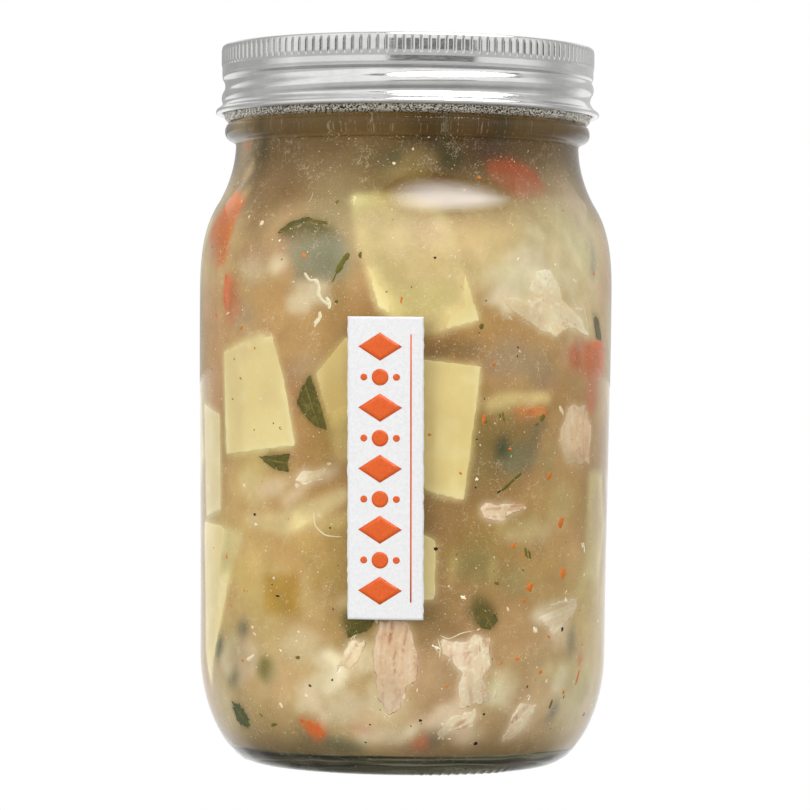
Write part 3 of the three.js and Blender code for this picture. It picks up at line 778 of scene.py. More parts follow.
def broth_tone_and_shade(azimuth, height):
    """The broth's tone at places on the wall, painted shade included: by height, wandering behind, with
    its clouds and shaded patches.
    """
    stops = np.array(BROTH_TONES)
    behind = smoothstep(1.2, 1.7, np.abs(wrapped(azimuth)))
    edge = np.stack([3 * np.sin(azimuth), 3 * np.cos(azimuth), 0 * azimuth], axis=-1)
    level = height + behind * (5 * noise(edge, 41) + 2.5 * noise(2.6 * edge, 42) - 1)
    tone = np.stack([np.interp(level, BROTH_HEIGHTS, stops[:, i]) for i in range(3)], axis=-1)
    for middle, middle_height, half_width, half_height, patch_tone, strength in ALL_CLOUDS_AND_SHADE:
        across = wrapped(azimuth - math.radians(middle)) * MEAN_RADIUS / half_width
        reach = across**2 + ((height - middle_height) / half_height) ** 2
        share = (strength * np.exp(-reach * 0.8))[:, None]
        tone = tone * (1 - share) + rgb(*patch_tone) * share
    return tone


def hazy(tone):
    """The tone of cloudy broth that hides a piece."""
    return tone * (0.6 + 0.4 * HAZE / MIDDLE_TONE)


# ------------------------------------------------------------------ dressing the solids


def remeshed(node, voxel, smoothing):
    """A CAD node's surface as points in millimetres and faces, on an even fine mesh."""
    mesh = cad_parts[node].data.copy()
    weld(mesh)
    source = bpy.data.objects.new("work", mesh)
    bpy.context.scene.collection.objects.link(source)
    cells = source.modifiers.new("cells", "REMESH")
    cells.mode = "VOXEL"
    cells.voxel_size = voxel * MM
    soft = source.modifiers.new("soft", "SMOOTH")
    soft.factor, soft.iterations = 0.5, smoothing
    graph = bpy.context.evaluated_depsgraph_get()
    fine = bpy.data.meshes.new_from_object(source.evaluated_get(graph))
    points = np.empty(len(fine.vertices) * 3)
    fine.vertices.foreach_get("co", points)
    faces = [tuple(face.vertices) for face in fine.polygons]
    bpy.data.objects.remove(source)
    bpy.data.meshes.remove(fine)
    bpy.data.meshes.remove(mesh)
    return points.reshape(-1, 3) / MM, faces


class Lie:
    """How a piece lies on the wall: its middle, its long direction and its half sizes."""

    def __init__(self, azimuth, height):
        self.middle = math.atan2(np.sin(azimuth).mean(), np.cos(azimuth).mean())
        self.height = height.mean()
        self.radius = float(wall_radius(self.height))
        u, v = wrapped(azimuth - self.middle) * self.radius, height - self.height
        self.long = np.linalg.eigh(np.cov(np.stack([u, v])))[1][:, 1]
        self.long *= 1 if self.long[1] > 0 else -1
        self.along = u * self.long[0] + v * self.long[1]
        self.across = u * self.long[1] - v * self.long[0]
        self.half_length = np.percentile(np.abs(self.along), 98)
        self.half_width = np.percentile(np.abs(self.across), 98)

    def place(self, along, across):
        """The azimuth and height of distances along and across the piece."""
        u = along * self.long[0] + across * self.long[1]
        v = along * self.long[1] - across * self.long[0]
        return self.middle + u / self.radius, self.height + v


def tint(base, *amounts_and_colours):
    """A colour for each point: base, moved by each amount towards its colour."""
    tones = np.tile(base, (len(amounts_and_colours[0][0]), 1))
    for amount, colour in amounts_and_colours:
        share = np.clip(amount, 0, 1)[:, None]
        tones = tones * (1 - share) + colour * share
    return tones


def spots(lie, seed, depth=0.0):
    """Places for noise that runs along and across a piece, different for every piece."""
    return np.stack([lie.along, lie.across, 0 * lie.along + depth + seed * 3.7], axis=-1)


def noodle_look(lie, depth, seed):
    """Relief and tones of smooth pasta, paler at its edges with a painted highlight."""
    spot = spots(lie, seed)
    edge = np.maximum(np.abs(lie.along) / lie.half_length, np.abs(lie.across) / lie.half_width)
    relief = 0.03 * noise(spot * 0.1, seed) + 0.02 * noise(spot * 0.5, seed)
    tones = tint(
        NOODLE_TONE,
        (0.35 + 0.45 * noise(spot * 0.09, seed + 1), NOODLE_DEEP),
        # Painted highlight: pale along the edges.
        (0.6 * smoothstep(0.8, 1.0, edge), NOODLE_PALE),
        (0.35 * smoothstep(0.2, 0.9, noise(spot * 0.3, seed + 2)), NOODLE_PALE),
    )
    return relief, tones


def chicken_look(lie, depth, seed, fibrous):
    """Relief and tones of torn meat, with fibres, lumps and creases, and painted light and shade that
    follow them.
    """
    solid = np.stack([lie.along, lie.across, depth], axis=-1) + seed * 5.3
    wander = 0.8 * noise(solid * 0.12, seed)
    strand = np.stack([lie.along * 0.06, (lie.across + wander) * 1.5, depth * 0.3], axis=-1)
    coarse = noise(strand, seed)
    fine = noise(strand * [2.2, 2.7, 2], seed + 1)
    lumps = noise(solid * 0.35, seed + 2)
    fibres = fibrous * (0.5 * coarse + 0.55 * fine)
    bent = noise(solid * 0.22 + 0.5 * noise(solid * 0.5, seed + 5)[:, None], seed + 4)
    creases = 1 - smoothstep(0.0, 0.07, np.abs(bent))
    creases = creases * smoothstep(-0.3, 0.3, noise(solid * 0.2, seed + 7))
    rough = fibres + (1 - 0.5 * fibrous) * 0.6 * lumps
    # Painted light and shade: paler where the meat is raised, darker in its low places and creases.
    tones = tint(
        CHICKEN_TONE,
        (0.9 * smoothstep(0.0, 0.7, rough), CHICKEN_PALE),
        (min(0.9, fibrous) * smoothstep(0.1, 0.45, -rough), CHICKEN_SHADE),
        (0.5 * min(0.7, fibrous) * smoothstep(0.1, 0.8, noise(solid * 0.12, seed + 3)), CHICKEN_PINK),
        (0.6 * creases, CHICKEN_SHADE),
        (0.5 * smoothstep(0.25, 0.6, noise(solid * 1.3, seed + 8)), CHICKEN_PALE),
    )
    return 0.38 * fibres - 0.12 * creases + 0.3 * (1 - 0.5 * fibrous) * lumps, tones


def carrot_look(lie, depth, seed):
    """Relief and tones of cooked carrot, streaked along its length."""
    spot = spots(lie, seed)
    relief = 0.16 * noise(spot * 0.45, seed)
    tones = tint(
        CARROT_TONE,
        (0.5 + 0.5 * noise(spot * 0.4, seed), CARROT_PALE),
        (0.7 * smoothstep(0.2, 0.8, noise(spot * [0.3, 1.6, 1], seed + 1)), CARROT_DEEP),
    )
    return relief, tones


def celery_look(lie, depth, seed):
    """Relief and tones of celery, with strings along it."""
    spot = spots(lie, seed)
    strings = noise(spot * [0.15, 1.4, 1], seed)
    tones = tint(CELERY_TONE, (0.5 + 0.5 * strings, CELERY_DEEP))
    return 0.15 * strings, tones


def leaf_look(lie, depth, seed):
    """Relief and tones of a leaf, with its rib, side ribs and fine net."""
    spot = spots(lie, seed)
    t, s = lie.along / lie.half_length, lie.across / lie.half_width
    rib = np.maximum(1 - np.abs(s) / 0.06, 0)
    side_ribs = np.maximum(1 - np.abs(np.sin(5.5 * t + 2.8 * np.abs(s) + seed)) / 0.13, 0)
    net = smoothstep(0.35, 0.75, noise(spot * 1.3, seed + 2))
    tones = tint(
        LEAF_TONE,
        (0.5 + 0.6 * noise(spot * 0.3, seed), LEAF_DEEP),
        (0.25 * net, LEAF_RIB),
        (0.5 * side_ribs * (np.abs(s) < 0.85), LEAF_RIB),
        (0.7 * rib, LEAF_RIB),
    )
    return 0.05 * noise(spot * 0.6, seed), tones


NOODLE_TONE, NOODLE_DEEP, NOODLE_PALE = rgb(228, 209, 147), rgb(218, 194, 128), rgb(235, 222, 168)
CHICKEN_TONE, CHICKEN_PALE = rgb(229, 208, 170), rgb(244, 235, 206)
CHICKEN_SHADE, CHICKEN_PINK = rgb(190, 144, 112), rgb(220, 178, 150)
CARROT_TONE, CARROT_PALE, CARROT_DEEP = rgb(208, 94, 26), rgb(214, 108, 44), rgb(186, 68, 18)
CELERY_TONE, CELERY_DEEP = rgb(150, 142, 74), rgb(122, 120, 52)
LEAF_TONE, LEAF_DEEP, LEAF_RIB = rgb(102, 90, 34), rgb(78, 74, 26), rgb(146, 128, 60)

# For each kind: how its look is worked out, the cells of its mesh, its rounds of smoothing,
# how far its outline wanders, how far it is pressed out onto the glass, and how cloudy it gets
# where it dips into the broth.
KINDS = {
    "noodle": (noodle_look, 0.5, 3, 0.12, 1.25, 0.2),
    "chicken": (chicken_look, 0.38, 2, 0.5, 1.25, 0.5),
    "carrot": (carrot_look, 0.4, 3, 0.2, 1.25, 0.5),
    "celery": (celery_look, 0.4, 3, 0.25, 1.2, 0.5),
    "leaf": (leaf_look, 0.27, 2, 0.22, 0.75, 0.0),
}

# Pieces that lie nearer the glass than their kind (above 0) or deeper, in millimetres.
LIFTS = {
    "chicken_01": 0.85, "chicken_04": 0.9, "chicken_05": 0.6, "chicken_06": 0.7, "chicken_07": 1.1,
    "chicken_08": 0.3, "chicken_09": 0.6, "chicken_10": 0.5, "chicken_11": 0.4, "chicken_12": 0.5,
    "noodle_08": -0.1, "noodle_09": -0.5, "noodle_10": -0.3, "noodle_12": 0.25,
    "carrot_01": -0.4, "carrot_02": 0.3, "carrot_03": 0.95, "carrot_04": 0.8, "carrot_06": 0.6,
    "leaf_01": 0.25, "leaf_06": 0.25, "leaf_08": 0.1,
}
# How fibrous the pieces of meat look, from 0 to 1.5, where they differ from the rest.
FIBROUS = {"chicken_01": 0.3, "chicken_04": 0.9, "chicken_07": 0.35, "chicken_08": 0.9}
MEAN_FIBROUS = 0.8
# Pieces lighter, darker or pinker than their kind.
SHADES = {
    "chicken_01": (1.1, 1.12, 1.05), "chicken_04": (0.85, 0.72, 0.68), "chicken_05": (1.02, 0.98, 0.94),
    "chicken_07": (0.93, 0.8, 0.72), "chicken_08": (1.04, 1.02, 1.0), "noodle_01": (1.06, 1.07, 1.02),
    "noodle_02": (0.98, 0.99, 1.0), "noodle_03": (0.84, 0.77, 0.62), "noodle_04": (0.96, 0.94, 0.86),
    "noodle_06": (1.0, 1.04, 1.2), "noodle_07": (1.1, 1.13, 1.25), "noodle_08": (1.02, 0.94, 0.85),
    "noodle_09": (0.85, 0.74, 0.6), "carrot_01": (0.84, 0.66, 0.55), "carrot_02": (1.07, 1.32, 1.05),
    "carrot_03": (1.04, 0.85, 0.7), "carrot_04": (1.1, 1.06, 0.38), "carrot_06": (1.1, 1.5, 0.9),
    "leaf_06": (0.58, 0.85, 1.2), "leaf_08": (0.5, 0.5, 0.5),
}
# Pieces rounder than their kind: their rounds of smoothing.
ROUNDED = {"leaf_01": 16, "carrot_01": 12, "chicken_01": 6, "carrot_04": 10}
# How deeply the edges of leaves are cut, where they differ from the rest.
TEETH = {"leaf_01": 0.02, "leaf_02": 0.02, "leaf_03": 0.07, "leaf_06": 0.25}
MEAN_TEETH = 0.05

# Every piece's points, faces and tones, which the broth is painted from.
surfaces = []
# Where each piece of meat lies, to scatter shreds round it.
meat = []


def lobed(lie, teeth, seed):
    """Teeth round the edge of a leaf."""
    t, s = lie.along / lie.half_length, lie.across / lie.half_width
    angle, reach = np.arctan2(s, t), np.hypot(s, t)
    tooth = 0.6 * np.abs(np.sin(4.5 * angle + seed)) + 0.4 * np.sin(13 * angle)
    grow = teeth * (tooth - 0.5) * smoothstep(0.4, 0.9, reach)
    return lie.place(lie.along * (1 + grow), lie.across * (1 + grow))


def torn(lie, seed):
    """Ends drawn out into fingers of fibre."""
    spot = np.stack([0 * lie.across, lie.across * 0.4, 0 * lie.across + seed * 2.9], axis=-1)
    grow = 0.16 * noise(spot, seed) + 0.05 * noise(spot * 2.6, seed + 1)
    near_end = smoothstep(0.3, 0.9, np.abs(lie.along) / lie.half_length)
    return lie.place(lie.along * (1 + grow * near_end), lie.across)


def clouded(tones, lie, azimuth, height, pressed, proud, most, seed):
    """Tones that fade into the broth's own at a piece's edges, and in patches of thin broth."""
    clear = smoothstep(0.1, 0.9, pressed) * smoothstep(-0.05, 0.3, proud)
    patches = noise(spots(lie, seed) * 0.16, seed + 6)
    share = most * (1 - clear) * smoothstep(-0.5, 0.3, patches)
    share = np.clip(share + 0.45 * most * smoothstep(0.1, 0.8, patches), 0, 1)[:, None]
    return tones * (1 - share) + hazy(broth_tone_and_shade(azimuth, height)) * share


def strayed(points, shift, seed):
    """How far an outline strays at points, as a share of its kind's most."""
    return noise(points * 0.55 + shift, seed) + 0.5 * noise(points * 1.4 + shift, seed)


def make_fillings():
    """Dresses every solid piece in the broth."""
    for seed, node in enumerate(sorted(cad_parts)):
        kind = node.split("_")[0]
        if kind not in KINDS:
            continue
        look, voxel, smoothing, wander, press, cloudy = KINDS[kind]
        points, faces = remeshed(node, voxel, ROUNDED.get(node, smoothing))
        azimuth, height, depth = wall_places(points)
        azimuth += wander * strayed(points, 0, seed) / MEAN_RADIUS
        height += wander * strayed(points, 40, seed)
        lie = Lie(azimuth, height)
        if kind == "leaf":
            azimuth, height = lobed(lie, TEETH.get(node, MEAN_TEETH), seed)
        if kind == "chicken":
            azimuth, height = torn(lie, seed)
            meat.append(lie)
            relief, tones = look(lie, depth, seed, FIBROUS.get(node, MEAN_FIBROUS))
        else:
            relief, tones = look(lie, depth, seed)
        relief += LIFTS.get(node, 0)
        tones *= SHADES.get(node, (1, 1, 1))
        pressed = press - depth
        depth = np.maximum(depth - press, -PIECE_PROUD + 0.02) - relief
        proud = -GLASS_PROUD - depth + (0.3 if kind in ("noodle", "leaf") else 0)
        tones = clouded(tones, lie, azimuth, height, pressed, proud, cloudy, seed)
        points = on_wall(azimuth, height, np.maximum(depth, -PIECE_PROUD))
        make_piece(node + "_cooked", points, faces, SOFT[kind], [node], tones)
        surfaces.append((points, faces, tones))


make_fillings()

# ------------------------------------------------------------------ small pieces


def joined(parts):
    """One set of points, faces and tones from many, each with one tone or a tone for each point."""
    points, faces, tones, start = [], [], [], 0
    for part_points, part_faces, part_tone in parts:
        points.append(part_points)
        faces += [[c + start for c in face] for face in part_faces]
        tones.append(np.broadcast_to(part_tone, (len(part_points), 3)))
        start += len(part_points)
    return np.concatenate(points), faces, np.concatenate(tones)


def make_joined(name, parts, kind):
    """One piece from many parts. It returns what the broth is painted from."""
    points, faces, tones = joined(parts)
    make_piece(name, points, faces, SOFT[kind], tones=tones)
    return points, faces, tones


def lump(
    dice, azimuth, height, length, width, turn,
    depth=-PIECE_PROUD, thickness=None, sides=9, ragged=0.3,
):
    """An uneven closed lump, flat on its front. azimuth and turn are in degrees."""
    thickness = thickness or 0.6 * width
    angle = np.arange(sides) * 2 * np.pi / sides
    reach = 1 + ragged * (dice.random(sides) - 0.5) * 2
    points = []
    for share, inside in ((0.72, 0.0), (1.0, 0.35), (0.7, 1.0)):
        along = share * reach * np.cos(angle) * length / 2
        across = share * reach * np.sin(angle) * width / 2
        u, v = turned(along, across, math.radians(turn))
        around = math.radians(azimuth) + u / MEAN_RADIUS
        points.append(on_wall(around, height + v, depth + inside * thickness))
    middle_front, middle_back = points[0].mean(axis=0), points[2].mean(axis=0)
    faces = []
    for i in range(sides):
        j = (i + 1) % sides
        faces += [[a + i, a + j, a + sides + j, a + sides + i][::-1] for a in (0, sides)]
        faces += [[3 * sides, i, j], [3 * sides + 1, 2 * sides + j, 2 * sides + i]]
    return np.concatenate(points + [middle_front[None], middle_back[None]]), faces


def thread(places, thickness, depth=-PIECE_PROUD):
    """A thin tube through places of [azimuth in degrees, height], pointed at both ends."""
    azimuth, height = np.array(places, float).T
    knots = np.linspace(0, 1, len(places))
    t = np.linspace(0, 1, 6 * len(places))
    azimuth = np.radians(np.interp(t, knots, azimuth))
    height = np.interp(t, knots, height)
    for _ in range(4):
        azimuth[1:-1] = (azimuth[:-2] + 2 * azimuth[1:-1] + azimuth[2:]) / 4
        height[1:-1] = (height[:-2] + 2 * height[1:-1] + height[2:]) / 4
    u, v = np.gradient(azimuth) * MEAN_RADIUS, np.gradient(height)
    length = np.hypot(u, v)
    u, v = u / length, v / length
    knobs = 1 + 0.22 * min(1, thickness) * np.sin(3.1 * len(places) * t + np.sin(17 * t))
    radius = thickness / 2 * np.sqrt(np.sin(np.pi * (0.06 + 0.88 * t))) * knobs
    sides, half_depth = 5, 0.14
    rings = []
    for k in range(sides):
        a = 2 * np.pi * k / sides
        offset = radius * math.cos(a)
        inside = depth + half_depth + np.minimum(radius, half_depth) * math.sin(a)
        rings.append(on_wall(azimuth - v * offset / MEAN_RADIUS, height + u * offset, inside))
    points = np.stack(rings, axis=1).reshape(-1, 3)
    faces = grid_faces(len(t), sides, True)
    last = len(points) - sides
    return points, faces + [list(range(sides))[::-1], [last + k for k in range(sides)]]


def varied(dice, tone, amount=0.12):
    """A tone made a little lighter or darker."""
    return np.clip(np.array(tone) * (1 + amount * (dice.random() * 2 - 1)), 0, 1)


def anywhere(dice, low=8.0, high=149.0, power=1.0):
    """A random azimuth and height on the wall, nearer its foot where power is over 1."""
    return dice.random() * 360 - 180, low + (high - low) * dice.random() ** power


PEPPER_TONE, FAT_TONE, CRUMB_TONE = rgb(38, 32, 26), rgb(230, 214, 172), rgb(226, 206, 172)
ONION_TONE, HERB_TONE = rgb(208, 192, 160), rgb(106, 98, 26)
CARROT_CRUMB, STRAND_TONE = rgb(214, 116, 22), rgb(232, 218, 180)

# Pieces deep in the broth, which show only as soft shadows and tints:
# kind, azimuth, height, length, width, turn, depth.
SUNK = [
    ("teal", -27, 120, 14, 8, 5, 1.5), ("teal", -26, 115.5, 12, 7, 0, 1.3),
    ("teal", -19.5, 118, 6, 10, 0, 2.0), ("teal", 34, 73, 11, 8, 20, 1.8),
    ("leaf", 28.3, 75.6, 5, 3.8, 70, 0.35), ("leaf", 40, 79, 8, 3.5, 60, 1.6),
    ("leaf", -65, 28, 8, 4, 80, 0.5), ("leaf", -57, 22, 6.5, 4.5, 60, 0.8),
    ("leaf", -52, 32.5, 6, 4.5, 60, 0.9), ("celery", -43, 24.5, 6.5, 4, 70, 0.15),
    ("amber", -37, 41.5, 14.5, 14.5, 45, 0.1), ("amber", -24, 44, 8, 6, 30, 1.4),
    ("pale", -20, 27.5, 4.5, 4, 0, 0.0), ("pale", -19.5, 22, 6, 4.5, 20, 0.05),
    ("pale", -17.5, 25, 3, 5, 60, 0.1), ("pale", 3, 11.5, 4, 2.4, 30, 0.0),
    ("pale", 28, 19, 6, 4, 60, 0.2), ("pale", 49, 34, 5, 3.6, 30, 0.1),
    ("pale", 42, 37, 4, 3, 0, 0.3), ("pale", 51, 22, 7, 4, 60, 0.3),
    ("pale", 33, 111, 17, 9, 10, 0.1), ("pale", 40, 118, 9, 2.6, 80, 0.3),
    ("carrot", 57, 97, 9, 9, 20, 0.7), ("leaf", -22, 8.5, 15, 3, -10, 1.0),
    ("leaf", 10, 9.5, 7, 3.5, 30, 1.1), ("leaf", 50, 15, 6, 2.5, 65, 0.9),
    ("leaf", 57, 31, 7, 3, 80, 1.4), ("leaf", -5, 141, 6, 5, 20, 2.2),
    ("leaf", 66, 118, 10, 2, 85, 1.3), ("celery", 20, 49, 10, 8, 20, 1.8),
    ("celery", 33, 45, 7, 7, 0, 2.2), ("celery", 45, 72, 14, 2.5, 75, 1.5),
    ("celery", 66, 60, 22, 4, 88, 1.2), ("celery", 42, 26, 3, 2, 20, 0.8),
    ("brown", 13, 97.5, 16, 5.5, 14, 1.4), ("brown", -13, 99, 10, 7, 60, 2.6),
    ("brown", 30, 96, 14, 9, 0, 2.8), ("brown", -30, 93, 12, 8, 30, 3.2),
    ("brown", -52, 105, 10, 8, 0, 3.4), ("brown", 6, 80, 10, 7, 0, 2.5),
    ("brown", 42, 93, 12, 8, -20, 2.8), ("chicken", -39, 117, 5, 4.5, 0, 0.5),
    ("chicken", -28, 110, 9, 6, 30, 0.3), ("chicken", -31, 107.5, 6, 4, 0, 0.5),
    ("chicken", -40, 66, 9, 4, 15, 1.2), ("chicken", -33, 64, 8, 3.5, 30, 1.0),
    ("chicken", -22, 26, 5, 6, 60, 0.2), ("chicken", -24, 21, 8, 6, 20, 0.4),
    ("chicken", -17, 16, 11, 7, 10, 0.35), ("chicken", -27, 17, 8, 6, -20, 0.6),
    ("chicken", -11, 27, 5, 9, 0, 0.8), ("chicken", -5, 10, 12, 4, 0, 0.5),
    ("chicken", -5, 19, 9, 8, 30, 0.5), ("chicken", 12, 15, 10, 5, 30, 0.5),
    ("chicken", 20, 10, 9, 4, 0, 1.2), ("chicken", -6, 40, 16, 5, 0, 1.6),
    ("chicken", 30, 21, 8, 9, 60, 1.4), ("chicken", 52, 33, 10, 8, 0, 2.0),
    ("chicken", 38, 56, 12, 6, 10, 2.4), ("chicken", -30, 30, 10, 7, 0, 2.5),
    ("chicken", 41, 122, 9, 2.6, 80, 0.35), ("chicken", 39, 125, 4, 2.4, 0, 0.4),
    ("chicken", 56, 120, 10, 2.0, -60, 0.5), ("chicken", 51, 114, 12, 2.6, -55, 0.5),
    ("chicken", 34, 118, 12, 7, 0, 1.2), ("celery", 31, 58, 7, 1.2, 85, 0.4),
    ("noodle", 34, 57, 7, 0.9, -80, 0.3), ("noodle", 31, 57.5, 7, 0.8, -88, 0.3),
    ("noodle", 28.5, 58, 6, 0.8, 84, 0.3), ("noodle", 37, 56.5, 7, 0.8, -72, 0.3),
    ("noodle", 40, 57.5, 6, 0.7, -60, 0.4), ("noodle", 14, 48, 10, 0.8, 85, 0.4),
    ("noodle", 26, 47.5, 8, 0.9, 85, 0.4), ("tan", -66, 138.5, 8, 4, 40, 0.7),
    ("tan", -70, 130, 13, 4, 65, 1.6), ("dark", -57, 146, 11, 3.5, 88, 0.5),
    ("dark", 33, 148, 10, 5, 70, 1.2), ("dark", 12, 148, 6, 4, 80, 1.0),
    ("chicken", -48, 116, 8, 6, 20, 2.8), ("noodle", 62, 43, 8, 5, 40, 1.3),
    ("noodle", -20, 58, 16, 4, 18, 1.6), ("noodle", -48, 66, 12, 8, -30, 2.4),
    ("noodle", 50, 62, 14, 9, 70, 2.8), ("noodle", 30, 112, 16, 12, 0, 3.4),
    ("noodle", -64, 132, 9, 4, 30, 1.4), ("noodle", 2, 140, 18, 8, 10, 3.2),
    ("carrot", 66, 88, 12, 7, 70, 1.2), ("carrot", 13.5, 16, 3, 2.4, 0, 1.0),
    ("carrot", 6, 8.5, 5, 3, 0, 0.9), ("carrot", -12, 11, 4, 3, 0, 1.5),
    ("carrot", -70, 146, 6, 2.5, 20, 1.2), ("carrot", 61, 24, 9, 2, 75, 0.6),
]
# For each kind: the corners of a sunk piece, how ragged it is, and its tone.
SUNK_KINDS = {
    "amber": (4, 0.1, rgb(190, 146, 62)),
    "brown": (12, 0.3, rgb(112, 82, 50)),
    "carrot": (7, 0.15, rgb(206, 84, 30)),
    "celery": (6, 0.15, rgb(132, 122, 58)),
    "chicken": (18, 0.4, rgb(236, 216, 178)),
    "dark": (9, 0.3, rgb(78, 70, 42)),
    "leaf": (9, 0.35, rgb(62, 74, 52)),
    "noodle": (5, 0.12, rgb(222, 196, 126)),
    "pale": (15, 0.45, rgb(240, 226, 188)),
    "tan": (7, 0.15, rgb(214, 182, 140)),
    "teal": (12, 0.1, rgb(80, 106, 84)),
}
SUNK_THICKNESS = 1.5
BACK_COUNT = 190
# Sunk pieces at the sides and back: how often each kind comes, and its least and greatest
# size and least depth.
BACK_KINDS = ["noodle"] * 5 + ["chicken"] * 7 + ["leaf"] * 3 + ["celery"] * 2
BACK_KINDS += ["carrot", "teal", "brown"]
BACK_SIZES = {
    "noodle": (9, 17, 0.15), "chicken": (5, 13, 0.15), "leaf": (3, 8, 0.3), "carrot": (4, 8, 0.4),
}


def sunk(dice, kind, azimuth, height, length, width, turn, depth):
    """One sunk piece: its points, faces and tone."""
    sides, ragged, tone = SUNK_KINDS[kind]
    sizes = (azimuth, height, length, width, turn, depth)
    return (*lump(dice, *sizes, SUNK_THICKNESS, sides, ragged), tone)


def make_sunk():
    """The dim lumps deep in the broth: those placed in front, then more at the sides and back."""
    dice = np.random.default_rng(4)
    parts = [sunk(dice, *row) for row in SUNK]
    for _ in range(BACK_COUNT):
        kind = BACK_KINDS[dice.integers(len(BACK_KINDS))]
        azimuth, height = 82 + 196 * dice.random(), 9 + 132 * dice.random()
        low, high, depth = BACK_SIZES.get(kind, (4, 9, 0.9))
        size = low + (high - low) * dice.random()
        squash, turn = 0.5 + 0.35 * dice.random(), 180 * dice.random()
        depth += 1.8 * dice.random()
        parts.append(sunk(dice, kind, azimuth, height, size, size * squash, turn, depth))
    surfaces.append(make_joined("sunk_pieces", parts, "chicken"))


make_sunk()

# Small things pressed against the glass: azimuth, height, length, width, turn.
CARROT_BITS = [
    (22.5, 82, 2.6, 0.9, 85), (-1.2, 109, 1.9, 0.55, 82), (50.5, 58.3, 3.6, 2.4, 60),
    (32.5, 53.2, 1.6, 1.5, 0), (52, 46.5, 3.6, 2.2, 80), (38.5, 43.5, 2.8, 2.4, 30),
    (36.5, 40.5, 1.2, 1.0, 0), (45, 69, 3.2, 1.6, 60), (31, 75.3, 1.2, 0.7, 0),
    (7, 78.5, 0.9, 0.8, 0), (24, 20.5, 1.3, 0.5, 20), (12.8, 21.5, 1.5, 0.4, 20),
    (29, 26.5, 1.1, 0.5, 60), (-52, 25.5, 0.9, 0.8, 0), (-58, 38, 1.4, 0.4, -40),
    (-62, 30, 1.0, 0.5, 70), (60.5, 22, 5.0, 0.9, 68), (43, 24, 1.4, 1.0, 10),
    (66, 116, 1.2, 1.0, 0), (-69, 145, 3.4, 0.5, 8),
]
HERB_BITS = [
    (28.6, 82.5, 3.0, 0.6, -78), (42, 82.5, 2.4, 1.6, 60), (40, 81, 1.4, 0.8, 30),
    (37, 51.5, 3.0, 0.9, -75), (38.3, 51, 2.6, 0.8, -80), (-41.5, 11.5, 2.8, 0.9, 12),
    (48.5, 16.5, 3.2, 1.1, 70), (26, 27, 1.2, 0.3, 70), (-46, 13.5, 1.4, 0.4, -40),
    (3, 38, 1.0, 0.4, 20), (-57, 86, 0.8, 0.5, 0), (-47, 79, 0.7, 0.4, 40),
]
PEPPER_BITS = [
    (8, 118.5, 0.7, 0.6, 0), (5.5, 13.7, 0.9, 0.8, 0), (23.5, 8.2, 1.4, 1.2, 20),
    (24.5, 15, 0.8, 0.6, 0), (27.5, 65.5, 1.3, 0.5, 35), (20.5, 77.5, 0.5, 0.4, 0),
    (20.4, 66.5, 0.5, 0.4, 0), (38.3, 20.8, 0.9, 0.4, 60), (54.2, 18, 1.1, 0.4, 65),
    (-38, 41, 1.4, 0.5, -10), (-14.5, 43, 0.7, 0.4, 0), (-20, 38.5, 0.5, 0.4, 0),
    (-27, 21, 0.9, 0.6, -30), (-11, 8.5, 0.6, 0.5, 0), (-47, 59.5, 1.1, 0.7, 0),
    (9, 52.5, 1.3, 1.1, 0), (52, 33.5, 1.5, 1.0, 60), (36, 47.5, 0.5, 0.4, 0),
    (-21, 57, 0.5, 0.4, 0), (33, 98.5, 0.5, 0.5, 0), (-37, 79.5, 1.3, 0.8, -50),
    (22.8, 109, 0.5, 0.4, 0),
]
CRUMBS = [
    (20, 68.8, 1.8, 1.4, 30), (17, 41.8, 2.6, 2.0, 0), (2.5, 13.2, 3.0, 1.5, 20),
    (0.5, 11.2, 2.6, 1.2, -30), (39, 18, 1.8, 0.7, 60), (40.5, 33.5, 2.2, 1.6, 40),
    (53.5, 39.8, 2.4, 1.6, 60), (-5, 8.5, 4.0, 1.8, 60), (-20.5, 10.5, 2.4, 0.8, -30),
    (-17, 24, 3.0, 1.2, 10), (-14, 26.5, 2.2, 1.0, -30), (10.5, 30, 3.0, 0.9, -70),
    (-46, 57, 1.8, 1.2, 0), (-48, 33.5, 1.4, 0.7, 30), (-31, 33, 1.4, 0.8, -60),
    (26.5, 33.5, 1.6, 1.0, 0), (50, 52, 2.2, 0.7, 50), (62, 52.5, 3.0, 0.9, 70),
    (-37, 28.5, 1.6, 0.7, -45), (60, 34, 1.4, 0.9, 0), (-38.5, 122, 1.0, 0.8, 0),
    (55, 114, 1.6, 0.8, 50), (47, 118, 1.2, 1.0, 0), (33, 119, 1.6, 0.7, 30),
]


def scattered(dice, count, size_range, squash, tone, amount=0.14, power=1.0, sides=7):
    """Lumps all round the wall."""
    parts = []
    for _ in range(count):
        azimuth, height = anywhere(dice, power=power)
        small, large = size_range
        length = small + (large - small) * dice.random() ** 2.5
        width = length * (squash + (1 - squash) * dice.random())
        depth = -PIECE_PROUD + 0.5 * max(0, dice.random() - 0.55) * length
        turn = 180 * dice.random()
        shape = lump(dice, azimuth, height, length, width, turn, depth, 0.5 * width, sides, 0.35)
        parts.append((*shape, varied(dice, tone, amount)))
    return parts


